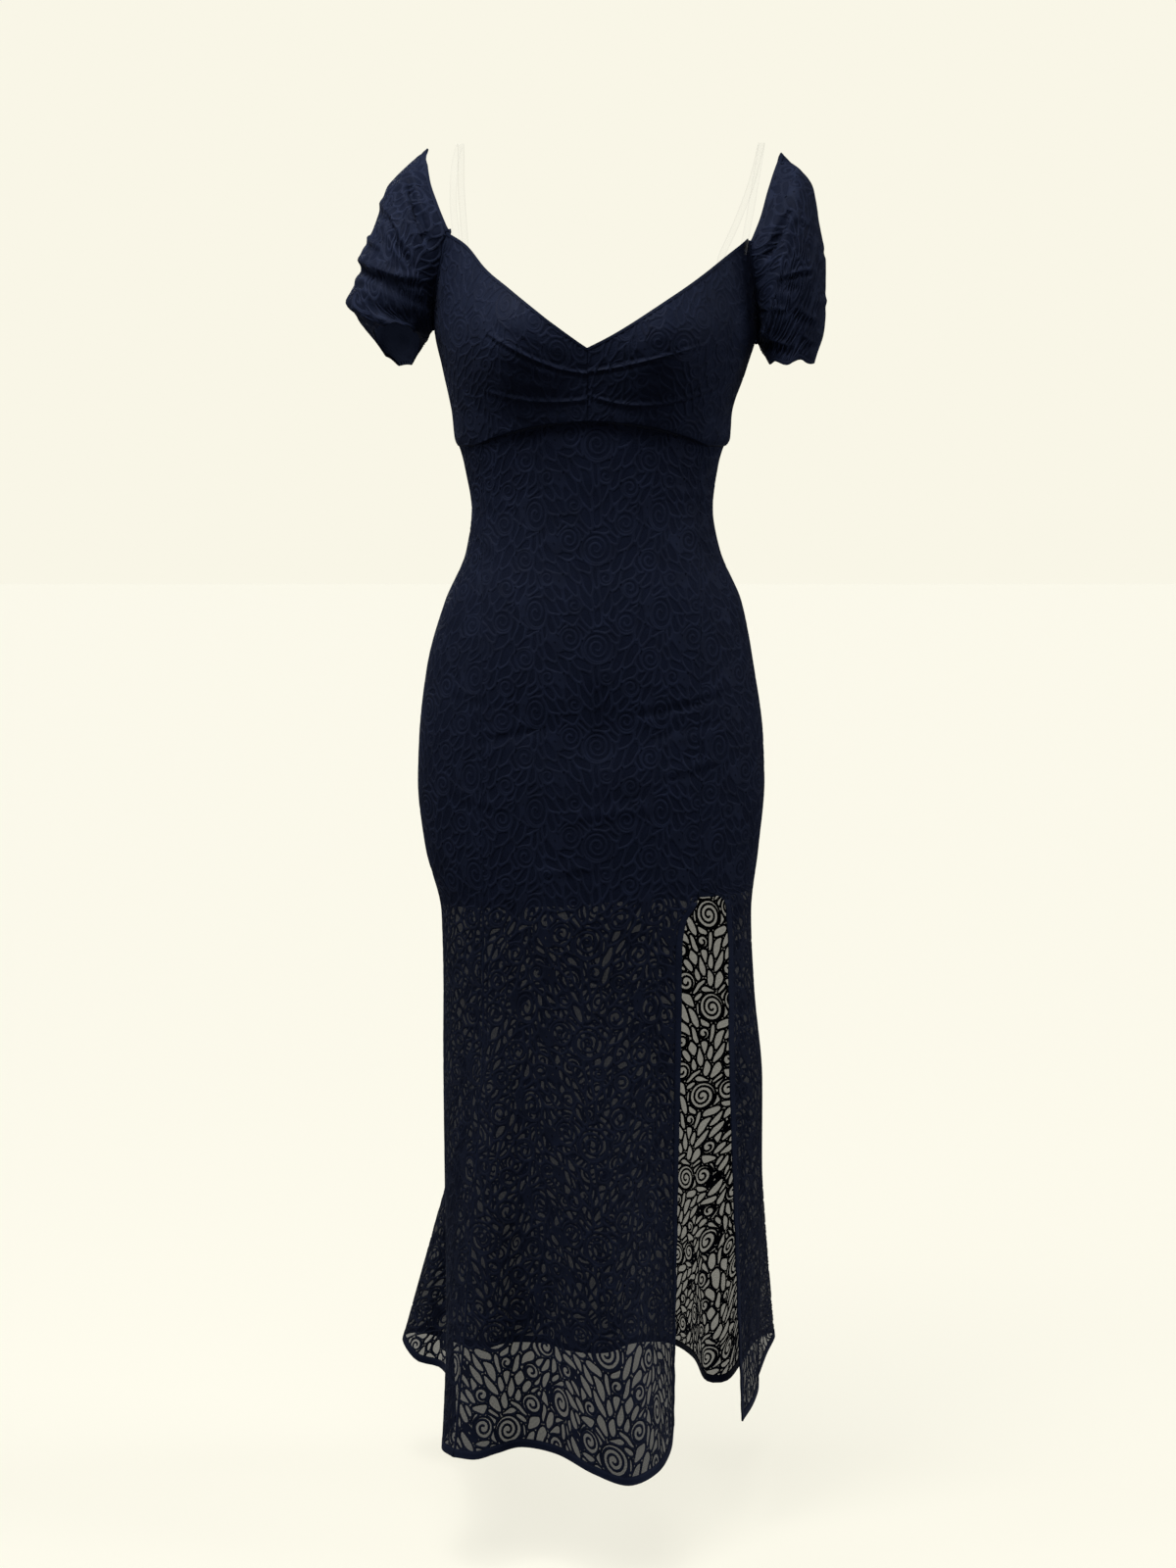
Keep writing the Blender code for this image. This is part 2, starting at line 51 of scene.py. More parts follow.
EMPIRE_CENTRE = -79.0     # height of the empire seam at centre front
EMPIRE_DROP = 20.0        # how far the arch falls
EMPIRE_SPAN = 110.0       # half width over which it falls
UNDERARM = {"left": 17.0, "right": 3.0}
CORNER = {"left": 107.0, "right": 101.0}      # neckline corner height
CORNER_ANGLE = {"left": 64.0, "right": 71.0}  # degrees round from centre front
BACK_TOP = 0.0                                # bottom of the scoop at centre back
BACK_CORNER_ANGLE = 122.0
BODY_TOP = -104.0         # first skirt row at the sides
HEM = -1094.0
LINING_TOP = -125.0
LINING_HEM = -553.0
LINING_TILT = 10.0
PRINCESS = 108.0          # princess seam, out from the middle
SLIT_TOP = -540.0

# Body sections: half widths, depths in front and behind, squareness (2 = ellipse)
SECTION_COLUMNS = ("z", "left", "right", "front", "back", "square")
SECTIONS = (
    (115.0, 158.0, 163.0, 92.0, 92.0, 2.2),
    (60.0, 158.5, 166.0, 101.0, 98.0, 2.2),
    (18.0, 157.5, 167.0, 104.0, 97.0, 2.2),
    (-25.0, 149.0, 156.0, 100.0, 91.0, 2.2),
    (-68.0, 140.0, 142.0, 95.0, 84.0, 2.2),
    (-97.0, 136.5, 139.5, 91.0, 80.0, 2.2),
    (-104.0, 133.0, 134.0, 89.5, 78.5, 2.2),
    (-130.0, 126.0, 127.0, 87.5, 76.0, 2.2),
    (-165.0, 120.5, 123.0, 86.0, 74.0, 2.2),
    (-204.0, 125.5, 130.0, 88.0, 79.0, 2.2),
    (-258.0, 148.0, 152.5, 95.0, 98.0, 2.2),
    (-322.0, 166.0, 165.0, 101.0, 117.0, 2.2),
    (-395.0, 174.5, 175.0, 105.0, 126.0, 2.2),
    (-440.0, 176.0, 176.5, 105.0, 123.0, 2.2),
    (-505.0, 169.0, 171.0, 106.0, 112.0, 2.2),
    (-575.0, 152.5, 163.5, 108.0, 103.0, 2.2),
    (-650.0, 151.0, 167.0, 112.0, 99.0, 2.2),
    (-750.0, 152.0, 176.0, 118.0, 98.0, 2.2),
    (-900.0, 153.0, 177.0, 127.0, 100.0, 2.2),
    (-1120.0, 153.0, 178.0, 134.0, 104.0, 2.2),
)

# Cup fullness: apex place, how far it stands out, how it fades each way
CUP_COLUMNS = ("x", "z", "out", "wide", "above", "below")
CUPS = (
    (-80.0, -4.0, 40.0, 40.0, 52.0, 40.0),
    (78.0, -4.0, 40.0, 40.0, 52.0, 40.0),
)

# Gathers that run out from the centre-front seam: height at the seam, climb per mm going
# out on each side, reach, ridge height and ridge width
GATHER_COLUMNS = ("z", "climb_left", "climb_right", "reach", "height", "width")
GATHERS = (
    (-21.0, 0.08, 0.20, 105.0, 4.0, 8.0),
    (-37.0, 0.05, 0.04, 60.0, -3.0, 7.0),
    (-49.0, 0.00, -0.05, 95.0, 4.0, 7.0),
    (-64.0, -0.06, -0.08, 70.0, -2.5, 7.0),
)

# Neckline height by share of the way from the centre-front V to the corner
NECK_COLUMNS = ("share", "left", "right")
NECKLINE = (
    (0.00, -9.0, -9.0),
    (0.20, 22.0, 16.0),
    (0.40, 49.0, 42.0),
    (0.60, 70.0, 64.0),
    (0.80, 93.0, 84.0),
    (1.00, 107.0, 101.0),
)

# Free edges of the slit: distance out from the middle at each height
SLIT_COLUMNS = ("z", "front_edge", "side_edge")
SLIT = (
    (-540.0, 108.0, 108.0),
    (-553.0, 106.0, 133.0),
    (-572.0, 95.0, 136.0),
    (-600.0, 90.5, 138.0),
    (-700.0, 90.0, 138.5),
    (-850.0, 88.0, 139.0),
    (-1120.0, 86.0, 140.0),
)

# Folds at the hem, one row each, panel by panel, from its first seam to its last.
# start is the height where the fold begins to leave the body's shape, and bend is how
# late it opens (1 is a straight cone).
FOLD_COLUMNS = ("x", "y", "z", "start", "bend")
FOLDS = {
    "side_front_left": (
        (-139.0, -46.0, -1094.0, -700.0, 1.25),     # side seam, pulled in
        (-146.0, -92.0, -1094.0, -700.0, 1.25),
        (-148.0, -136.0, -1094.0, -700.0, 1.25),    # turned edge seen from the front
        (-136.0, -163.0, -1094.0, -680.0, 1.25),    # princess seam
    ),
    "front_panel": (
        (-135.0, -163.5, -1094.0, -680.0, 1.25),
        (-113.0, -171.0, -1094.0, -660.0, 1.25),    # first flute
        (-92.0, -160.0, -1091.0, -660.0, 1.25),
        (-68.0, -147.0, -1089.0, -660.0, 1.25),     # hollow between the flutes
        (-33.0, -164.0, -1091.0, -660.0, 1.25),
        (2.0, -194.0, -1101.0, -640.0, 1.25),
        (36.0, -206.0, -1109.0, -640.0, 1.25),      # second, larger flute
        (64.0, -184.0, -1104.0, -640.0, 1.25),
        (79.0, -130.0, -1099.0, -640.0, 1.25),
        (84.5, -62.0, -1092.0, -640.0, 1.25),       # slit edge, turned back
    ),
    "side_front_right": (
        (155.0, -44.0, -1094.0, -700.0, 1.25),      # slit edge
        (168.0, 8.0, -1093.0, -700.0, 1.25),
        (177.0, 62.0, -1092.0, -700.0, 1.25),
        (179.0, 100.0, -1088.0, -700.0, 1.25),      # side seam
    ),
    "back_panel": (
        (179.5, 101.0, -1088.0, -700.0, 1.25),      # side seam
        (191.0, 150.0, -1078.0, -690.0, 1.25),
        (202.0, 184.0, -1068.0, -690.0, 1.25),      # side flute
        (197.0, 206.0, -1070.0, -690.0, 1.25),
        (181.0, 198.0, -1076.0, -700.0, 1.25),
        (164.0, 150.0, -1086.0, -720.0, 1.25),
        (148.0, 100.0, -1091.0, -720.0, 1.25),      # folds forward, seen through the slit
        (134.0, 88.0, -1092.0, -720.0, 1.25),
        (122.0, 104.0, -1092.0, -720.0, 1.25),
        (112.0, 170.0, -1087.0, -700.0, 1.25),
        (86.0, 232.0, -1088.0, -680.0, 1.25),       # back flute
        (46.0, 236.0, -1090.0, -680.0, 1.25),
        (18.0, 198.0, -1090.0, -680.0, 1.25),       # hollow
        (-22.0, 204.0, -1090.0, -680.0, 1.25),
        (-52.0, 244.0, -1092.0, -680.0, 1.25),      # back flute
        (-92.0, 240.0, -1090.0, -680.0, 1.25),
        (-122.0, 198.0, -1086.0, -700.0, 1.25),     # hollow
        (-158.0, 214.0, -1080.0, -690.0, 1.0),
        (-190.0, 224.0, -1074.0, -690.0, 0.9),     # side flute
        (-207.0, 192.0, -1072.0, -690.0, 0.9),
        (-190.0, 154.0, -1086.0, -690.0, 1.0),
        (-162.0, 136.0, -1090.0, -680.0, 1.25),
        (-147.0, 62.0, -1092.0, -700.0, 1.25),
        (-139.5, -45.0, -1094.0, -700.0, 1.25),     # side seam
    ),
}
# Sleeve rings: outer (top) point and inner (underarm) point seen from the front, half
# depth, how far the front of the ring is lifted and how far its back hangs down
SLEEVE_COLUMNS = ("out_x", "out_z", "in_x", "in_z", "depth", "rise", "drop")
SLEEVES = {
    "left": (
        (-183.0, 178.0, -159.5, 14.0, 58.0, 0.0, 0.0),
        (-200.5, 160.0, -161.0, 12.0, 61.0, 0.0, 0.0),
        (-208.0, 142.0, -162.0, 11.0, 63.0, 1.0, 2.0),
        (-216.0, 118.0, -162.5, 10.0, 64.0, 2.0, 4.0),
        (-228.0, 94.0, -163.0, 9.0, 62.0, 3.0, 7.0),
        (-234.0, 68.0, -163.5, 8.0, 60.0, 4.0, 10.0),
        (-242.0, 47.0, -164.5, 7.0, 56.0, 6.0, 14.0),
        (-237.0, 33.0, -166.5, 6.0, 50.0, 9.0, 18.0),
        (-218.0, 14.0, -172.0, 5.0, 43.0, 12.0, 27.0),
    ),
    "right": (
        (204.0, 177.0, 168.5, -1.0, 58.0, 0.0, 0.0),
        (219.0, 160.0, 169.0, -2.0, 61.0, 0.0, 0.0),
        (224.0, 142.0, 169.5, -3.0, 62.0, 1.0, 1.0),
        (228.0, 120.0, 170.0, -4.0, 62.0, 1.0, 2.0),
        (234.0, 88.0, 170.5, -5.0, 61.0, 1.0, 3.0),
        (235.0, 58.0, 171.0, -6.0, 58.0, 1.0, 4.0),
        (235.0, 28.0, 172.0, -7.0, 54.0, 2.0, 4.0),
        (232.0, 6.0, 174.0, -9.0, 49.0, 2.0, 5.0),
        (224.0, -14.0, 178.0, -14.0, 44.0, 2.0, 5.0),
    ),
}
# Free edge of the sleeve from the neckline corner to the shoulder: share, x, z
SHOULDER_COLUMNS = ("share", "x", "z")
SHOULDER = {
    "left": ((0.0, -145.0, 109.0), (0.33, -156.0, 136.0), (0.66, -164.5, 162.0),
             (0.88, -167.0, 182.0), (1.0, -163.0, 195.0)),
    "right": ((0.0, 158.0, 99.0), (0.33, 168.0, 124.0), (0.66, 176.0, 152.0),
              (0.88, 184.0, 176.0), (1.0, 190.0, 191.0)),
}
# Clear strap route, front to back
STRAP_COLUMNS = ("x", "y", "z")
STRAPS = {
    "left": ((-131.5, -70.0, 92.0), (-133.0, -66.0, 104.0), (-136.0, -55.0, 135.0),
             (-135.0, -34.0, 172.0), (-131.0, -8.0, 197.0), (-131.0, 24.0, 194.0),
             (-132.0, 50.0, 162.0), (-130.0, 62.0, 125.0), (-128.0, 66.5, 94.0),
             (-127.0, 67.5, 84.0)),
    "right": ((150.0, -60.0, 86.0), (152.0, -57.0, 98.0), (158.0, -48.0, 130.0),
              (165.0, -30.0, 170.0), (170.0, -6.0, 198.0), (170.0, 24.0, 195.0),
              (162.0, 46.0, 162.0), (148.0, 58.0, 125.0), (134.0, 65.0, 94.0),
              (132.0, 66.5, 84.0)),
}

COLOURS = {               # base colour, roughness
    "lace": ((0.008, 0.011, 0.028), 0.72),
    "lining": ((0.006, 0.008, 0.018), 0.55),
    "clear_strap": ((0.85, 0.83, 0.80), 0.12),
}

# ---------------------------------------------------------------- tables
def smooth(xs, ys, x):
    """Values between table rows, without overshoot."""
    xs, ys = np.asarray(xs, float), np.asarray(ys, float)
    if xs[0] > xs[-1]:
        xs, ys = xs[::-1], ys[::-1]
    h, d = np.diff(xs), np.diff(ys) / np.diff(xs)
    m = np.zeros_like(ys)
    m[0], m[-1] = d[0], d[-1]
    same = d[:-1] * d[1:] > 0
    w1, w2 = 2 * h[1:] + h[:-1], h[1:] + 2 * h[:-1]
    with np.errstate(divide="ignore", invalid="ignore"):
        m[1:-1] = np.where(same, (w1 + w2) / (w1 / d[:-1] + w2 / d[1:]), 0.0)
    x = np.clip(x, xs[0], xs[-1])
    i = np.clip(np.searchsorted(xs, x) - 1, 0, len(xs) - 2)
    t = (x - xs[i]) / h[i]
    return ((1 + 2 * t) * (1 - t) ** 2 * ys[i] + t * (1 - t) ** 2 * h[i] * m[i]
            + t * t * (3 - 2 * t) * ys[i + 1] + t * t * (t - 1) * h[i] * m[i + 1])


def column(rows, names, name):
    return [row[names.index(name)] for row in rows]


def section(name, z):
    return smooth(column(SECTIONS, SECTION_COLUMNS, "z"),
                  column(SECTIONS, SECTION_COLUMNS, name), z)


def spline(points, shares):
    """A smooth curve through points, read at shares of its length."""
    p = np.asarray(points, float)
    ext = np.vstack([2 * p[0] - p[1], p, 2 * p[-1] - p[-2]])
    dense = []
    for i in range(1, len(ext) - 2):
        a, b, c, d = ext[i - 1:i + 3]
        t = np.linspace(0, 1, 24, endpoint=False)[:, None]
        dense.append(0.5 * (2 * b + (c - a) * t + (2 * a - 5 * b + 4 * c - d) * t * t
                            + (3 * b - a - 3 * c + d) * t ** 3))
    dense = np.vstack(dense + [p[-1:]])
    run = np.concatenate([[0], np.cumsum(np.linalg.norm(np.diff(dense[:, :2], axis=0), axis=1))])
    return np.array([np.interp(np.asarray(shares) * run[-1], run, dense[:, k])
                     for k in range(p.shape[1])]).T


# ---------------------------------------------------------------- body form
ROUND = np.radians(np.linspace(-180.0, 180.0, 1441))   # 0 is centre front, + is right


def body_ring(z, inset=0.0):
    s, c = np.sin(ROUND), np.cos(ROUND)
    p = 2.0 / section("square", z)
    x = np.where(s > 0, section("right", z) - inset, section("left", z) - inset) \
        * np.sign(s) * np.abs(s) ** p
    y = np.where(c > 0, -(section("front", z) - inset), section("back", z) - inset) * np.abs(c) ** p
    for cup in CUPS:
        cx, cz, out, wide, above, below = cup
        fade = np.exp(-0.5 * ((x - cx) / wide) ** 2) \
            * math.exp(-0.5 * ((z - cz) / (above if z > cz else below)) ** 2)
        y = y - np.where(c > 0, out * fade * np.clip(c * 3.0, 0, 1), 0.0)
    for z0, climb_left, climb_right, reach, height, width in GATHERS:
        ridge = z0 + np.where(x > 0, climb_right * x, -climb_left * x)
        y = y - np.where(c > 0, height * np.exp(-((z - ridge) / width) ** 2 - (x / reach) ** 2), 0.0)
    return x, y


def angle_at_x(z, x_wanted):
    x, _ = body_ring(z)
    front = np.abs(ROUND) <= math.pi / 2 + 1e-9
    return float(np.interp(x_wanted, x[front], ROUND[front]))


def along(z, start, end, shares, inset=0.0):
    """Points on the body's ring between two angles, evenly spaced by share."""
    x, y = body_ring(z, inset)
    if end > math.pi:                       # across the back
        x, y = np.concatenate([x, x[1:]]), np.concatenate([y, y[1:]])
        turn = np.concatenate([ROUND, ROUND[1:] + 2 * math.pi])
    else:
        turn = ROUND
    fine = np.linspace(start, end, 420)
    fx, fy = np.interp(fine, turn, x), np.interp(fine, turn, y)
    run = np.concatenate([[0], np.cumsum(np.hypot(np.diff(fx), np.diff(fy)))])
    want = np.asarray(shares) * run[-1]
    return np.interp(want, run, fx), np.interp(want, run, fy), run[-1]


def empire(x):
    return EMPIRE_CENTRE - EMPIRE_DROP * (np.minimum(np.abs(x), 115.0) / EMPIRE_SPAN) ** 2


def slit(name, z):
    return float(smooth(column(SLIT, SLIT_COLUMNS, "z"), column(SLIT, SLIT_COLUMNS, name), z))


def edges(panel, z):
    """The two edges of a skirt panel, as angles, at a height."""
    right = slit("front_edge", z) if z < SLIT_TOP else PRINCESS
    side = slit("side_edge", z) if z < SLIT_TOP else PRINCESS
    a = {
        "side_front_left": (-math.pi / 2, angle_at_x(z, -PRINCESS)),
        "front_panel": (angle_at_x(z, -PRINCESS), angle_at_x(z, right)),
        "side_front_right": (angle_at_x(z, side), math.pi / 2),
        "back_panel": (math.pi / 2, 1.5 * math.pi),
    }
    return a[panel]


def skirt(panel, z, shares):
    """Skirt points: the body's ring above, opening into the folds of the hem below."""
    start, end = edges(panel, z)
    x, y, length = along(z, start, end, shares)
    gap = SEAM / length
    even = gap + np.asarray(shares) * (1 - 2 * gap)
    x, y, _ = along(z, start, end, even)
    hem = spline(FOLDS[panel], even)
    begin = hem[:, 3]
    g = np.clip((begin - z) / (begin - HEM), 0, 1.0) ** hem[:, 4]
    zz = z + (hem[:, 2] - HEM) * np.clip((begin - z) / (begin - HEM), 0, 1) ** 2
    return np.stack([x + (hem[:, 0] - x) * g, y + (hem[:, 1] - y) * g, zz], axis=1)


def skirt_grid(panel, columns, rows):
    shares = np.linspace(0, 1, columns + 1)
    grid = []
    top = BODY_TOP
    for z in rows:
        pts = skirt(panel, z, shares)
        # the top rows follow the arch of the empire seam
        reach = np.clip(1 - (top - z) / 120.0, 0, 1) ** 2
        if reach > 0 and panel != "back_panel":
            pts[:, 2] += (empire(pts[:, 0]) - 2 * SEAM - top) * reach
        elif reach > 0:
            pts[:, 2] += (empire(140.0) - 2 * SEAM - top) * reach
        grid.append(pts)
    return np.array(grid)


# ---------------------------------------------------------------- bodice
def side_edge(side, z):
    """Angle of the bodice's outer edge: side seam, then the armhole up to the corner."""
    low, high = UNDERARM[side], CORNER[side]
    t = min(max((z - low) / (high - low), 0.0), 1.0)
    turn = CORNER_ANGLE[side] + (90.0 - CORNER_ANGLE[side]) * (1 - t) ** 1.6
    return math.radians(turn)


def back_edge(side, z):
    low, high = UNDERARM[side], CORNER[side]
    t = min(max((z - low) / (high - low), 0.0), 1.0)
    turn = BACK_CORNER_ANGLE + (90.0 - BACK_CORNER_ANGLE) * (1 - t) ** 1.6
    return math.radians(turn)


def cup_point(side, z, share):
    sign = -1.0 if side == "left" else 1.0
    edge = side_edge(side, z)
    centre = math.radians(-1.0)
    start, end = (centre, edge) if sign > 0 else (-edge, centre)
    _, _, length = along(z, start, end, [0.0])
    gap = SEAM / length
    s = gap + share * (1 - 2 * gap)
    if sign < 0:
        s = 1 - s
    x, y, _ = along(z, start, end, [s])
    return x[0], y[0]


def cup_grid(side, columns, rows):
    """Rows run from the empire seam to the neckline, columns from the centre seam out."""
    shares = np.linspace(0, 1, columns + 1)
    grid = []
    for v in np.linspace(0, 1, rows + 1):
        line = []
        for u in shares:
            top = float(smooth(column(NECKLINE, NECK_COLUMNS, "share"),
                               column(NECKLINE, NECK_COLUMNS, side), u))
            x, _ = cup_point(side, -95.0, u)
            bottom = float(empire(x)) + SEAM
            z = bottom + (top - bottom) * v
            x, y = cup_point(side, z, u)
            line.append((x, y, z))
        grid.append(line)
    return np.array(grid)


def back_grid(columns, rows):
    grid = []
    for v in np.linspace(0, 1, rows + 1):
        line = []
        for u in np.linspace(0, 1, columns + 1):
            side = "right" if u < 0.5 else "left"
            reach = abs(2 * u - 1) ** 2
            top = BACK_TOP + (CORNER[side] - BACK_TOP) * reach
            bottom = float(empire(140.0)) + SEAM
            z = bottom + (top - bottom) * v
            start, end = back_edge("right", z), 2 * math.pi - back_edge("left", z)
            _, _, length = along(z, start, end, [0.0])
            gap = SEAM / length
            x, y, _ = along(z, start, end, [gap + u * (1 - 2 * gap)])
            line.append((x[0], y[0], z))
        grid.append(line)
    return np.array(grid)


def lining_grid(start_deg, end_deg, columns, rows):
    grid = []
    shares = np.linspace(0.0015, 0.9985, columns + 1)
    for z in rows:
        x, y, _ = along(z, math.radians(start_deg), math.radians(end_deg), shares, LINING_INSET)
        if z == LINING_HEM:                 # the hem hangs a little lower on the left
            low = z - LINING_TILT * np.clip(-x / 150.0, -0.4, 1.0)
            spot = [along(zz, math.radians(start_deg), math.radians(end_deg), [u], LINING_INSET)
                    for zz, u in zip(low, shares)]
            x, y = np.array([p[0][0] for p in spot]), np.array([p[1][0] for p in spot])
            z = low
        grid.append(np.stack([x, y, z + 0.0 * x], axis=1))
    return np.array(grid)


# ---------------------------------------------------------------- sleeves
def armhole_ring(side, count):
    """First ring of a sleeve: shoulder edge to the corner, then the armhole, both ways."""
    sign = -1.0 if side == "left" else 1.0
    pts = []
    for k in range(count):
        a = 2 * math.pi * k / count                # 0 top, 90 front, 180 underarm
        front = math.sin(a) >= 0
        up = math.cos(a)
        if up >= 0:                                # free edge over the shoulder
            t = 2 * math.asin(min(up, 1.0)) / math.pi
            rows = SHOULDER[side]
            x = float(smooth(column(rows, SHOULDER_COLUMNS, "share"),
                             column(rows, SHOULDER_COLUMNS, "x"), t))
            z = float(smooth(column(rows, SHOULDER_COLUMNS, "share"),
                             column(rows, SHOULDER_COLUMNS, "z"), t))
            if front:
                edge = side_edge(side, CORNER[side])
            else:
                edge = back_edge(side, CORNER[side])
            bx, by = ring_point(CORNER[side], sign * edge)
            y = by * math.cos(t * math.pi / 2) ** 0.8 if t < 1 else 0.0
            if not front:
                x = bx + (x - rows[0][1]) * 1.0 + (rows[0][1] - bx) * t
            pts.append((x, y, z))
        else:                                      # armhole seam
            t = 1 + up                             # 1 at the corner, 0 at the underarm
            low, high = UNDERARM[side], CORNER[side]
            if front:
                z = low + (high - low) * t
                edge = side_edge(side, z)
            else:
                z = low + (high - low) * t
                edge = back_edge(side, z)
            x, y = ring_point(z, sign * edge)
            out = 2 * SEAM + 1.6
            pts.append((x + sign * out, y, z - 1.2))
    return np.array(pts)


def ring_point(z, angle):
    x, y = body_ring(z)
    return float(np.interp(angle, ROUND, x)), float(np.interp(angle, ROUND, y))


def sleeve_grid(side, count):
    rings = [armhole_ring(side, count)]
    angles = 2 * math.pi * np.arange(count) / count
    for row in SLEEVES[side]:
        ox, oz, ix, iz, depth, rise, drop = row
        c, s = np.cos(angles), np.sin(angles)
        x = (ox + ix) / 2 + (ox - ix) / 2 * np.sign(c) * np.abs(c) ** 0.9
        z = (oz + iz) / 2 + (oz - iz) / 2 * c + np.where(s > 0, rise, drop) * s
        y = -depth * np.sign(s) * np.abs(s) ** 0.9
        rings.append(np.stack([x, y, z], axis=1))
    return np.array(rings)


def strap_grid(side):
    route = spline(STRAPS[side], np.linspace(0, 1, 19))
    t = np.gradient(route, axis=0)
    t /= np.linalg.norm(t, axis=1)[:, None]
    across = np.cross(t, np.array([1.0, 0, 0]))        # faces away from the body
    across = np.cross(across, t)
    across /= np.linalg.norm(across, axis=1)[:, None]
    sides = [route + across * STRAP_WIDTH * k for k in (-0.5, 0.5)]
    return np.array(sides)


# ---------------------------------------------------------------- looks: tables
SEAM = 0.0            # in the looks the pieces meet on their seam lines
LINING_INSET = 1.9    # the lining lies just under the lace
CORD_HIGH = 0.65      # how far a cord's crown stands over the net
NET_DEPTH = 0.6       # net lies this far under the outer face of the wall
GATHERS = ()          # the cups' folds are in CUP_CREASES

# Creases: a soft ridge along a bent line, and troughs above and below it. Points are seen
# from the front (or from behind for rows of the back), start to end, left to right.
CREASE_COLUMNS = ("x0", "z0", "x1", "z1", "x2", "z2", "ridge", "wide", "above", "below")
CUP_CREASES = {
    "cup_left": (
        (-112.0, 14.0, -48.0, -23.5, 16.0, -33.0, 2.3, 1.7, 1.0, 1.6),
        (-106.0, 18.0, -58.0, -8.0, -10.0, -28.0, -1.1, 5.0, 0.0, 0.0),
        (-88.0, -12.0, -56.0, -30.0, -20.0, -38.0, 0.7, 3.4, 0.3, 0.5),
        (-114.0, -44.0, -56.0, -59.5, 16.0, -55.0, 2.2, 1.7, 1.0, 1.4),
        (-92.0, -46.0, -52.0, -53.5, -12.0, -51.0, -0.8, 4.0, 0.0, 0.0),
        (-100.0, -28.0, -64.0, -43.0, -30.0, -46.0, 0.6, 3.6, 0.3, 0.3),
        (-84.0, -66.0, -46.0, -76.0, -10.0, -72.0, 0.6, 4.0, 0.3, 0.3),
        (-1.0, -2.0, -1.0, -50.0, -1.0, -100.0, -1.5, 1.5, 0.0, -0.2),
    ),
    "cup_right": (
        (-16.0, -33.0, 48.0, -23.0, 116.0, -4.0, 2.3, 1.6, 1.0, 1.6),
        (10.0, -28.0, 52.0, -14.0, 104.0, 4.0, -1.0, 5.0, 0.0, 0.0),
        (28.0, -36.0, 62.0, -29.0, 98.0, -24.0, 0.6, 4.0, 0.2, 0.5),
        (-20.0, -46.0, 56.0, -63.5, 134.0, -38.0, 2.2, 1.7, 1.0, 1.4),
        (14.0, -49.0, 54.0, -56.0, 96.0, -49.0, -0.8, 4.0, 0.0, 0.0),
        (84.0, -44.0, 102.0, -36.0, 121.0, -20.0, 0.9, 2.4, 0.5, 0.5),
        (10.0, -72.0, 50.0, -78.0, 90.0, -70.0, 0.6, 4.0, 0.3, 0.3),
        (-5.0, -2.0, -5.0, -50.0, -5.0, -100.0, -1.5, 1.5, 0.0, -0.2),
    ),
}
BODY_CREASES = (
    (35.0, -368.0, 88.0, -360.0, 146.0, -344.0, -1.9, 3.6, -0.8, -0.9),
    (52.0, -392.0, 96.0, -382.0, 150.0, -370.0, -1.0, 4.0, -0.3, -0.6),
    (-118.0, -396.0, -79.0, -388.0, -38.0, -378.0, -1.3, 4.5, -0.5, -0.6),
    (-150.0, -348.0, -118.0, -356.0, -84.0, -362.0, -0.9, 4.0, -0.4, -0.3),
    (66.0, -426.0, 98.0, -419.0, 138.0, -408.0, 1.3, 4.0, 0.5, 0.9),
    (-36.0, -470.0, 16.0, -463.0, 74.0, -457.0, 1.0, 5.0, 0.4, 0.5),
    (-66.0, -527.0, -24.0, -519.0, 10.0, -514.0, 0.9, 4.5, 0.2, 0.6),
    (-140.0, -440.0, -112.0, -452.0, -76.0, -458.0, 0.9, 5.0, 0.3, 0.5),
    (92.0, -182.0, 112.0, -194.0, 128.0, -214.0, 1.0, 4.5, 0.5, 0.6),
    (-124.0, -180.0, -104.0, -196.0, -88.0, -222.0, 1.2, 4.5, 0.5, 0.7),
    (-122.0, -150.0, -98.0, -158.0, -66.0, -160.0, 0.8, 4.5, 0.3, 0.3),
    (60.0, -146.0, 92.0, -150.0, 122.0, -146.0, 0.8, 4.5, 0.3, 0.3),
    (4.0, -330.0, 10.0, -372.0, 6.0, -424.0, -2.4, 13.0, 0.0, 0.0),
    (-122.0, -366.0, 4.0, -388.0, 124.0, -362.0, -5.4, 34.0, 0.0, 0.0),
)
BACK_CREASES = (
    (-78.0, -186.0, -6.0, -196.0, 70.0, -184.0, 2.2, 6.0, 1.0, 1.4),
    (-60.0, -212.0, 4.0, -218.0, 84.0, -208.0, 1.6, 5.5, 0.8, 0.9),
    (-112.0, -160.0, -66.0, -170.0, -30.0, -166.0, 1.2, 5.0, 0.5, 0.6),
    (34.0, -158.0, 74.0, -164.0, 112.0, -150.0, 1.4, 5.0, 0.6, 0.6),
    (-90.0, -436.0, -50.0, -447.0, -8.0, -446.0, 1.4, 6.0, 0.5, 0.8),
    (10.0, -452.0, 56.0, -452.0, 104.0, -436.0, 1.1, 6.0, 0.4, 0.6),
    (-130.0, -352.0, -98.0, -340.0, -70.0, -318.0, 1.0, 6.0, 0.4, 0.4),
    (74.0, -306.0, 104.0, -330.0, 136.0, -344.0, 1.0, 6.0, 0.4, 0.4),
    (0.0, -300.0, 1.0, -350.0, 0.0, -410.0, -3.0, 15.0, 0.0, 0.0),
    (-90.0, 8.0, -40.0, -4.0, 30.0, 0.0, 1.5, 8.0, 0.5, 0.7),
    (-20.0, -40.0, 40.0, -48.0, 100.0, -40.0, 1.3, 7.0, 0.5, 0.6),
)
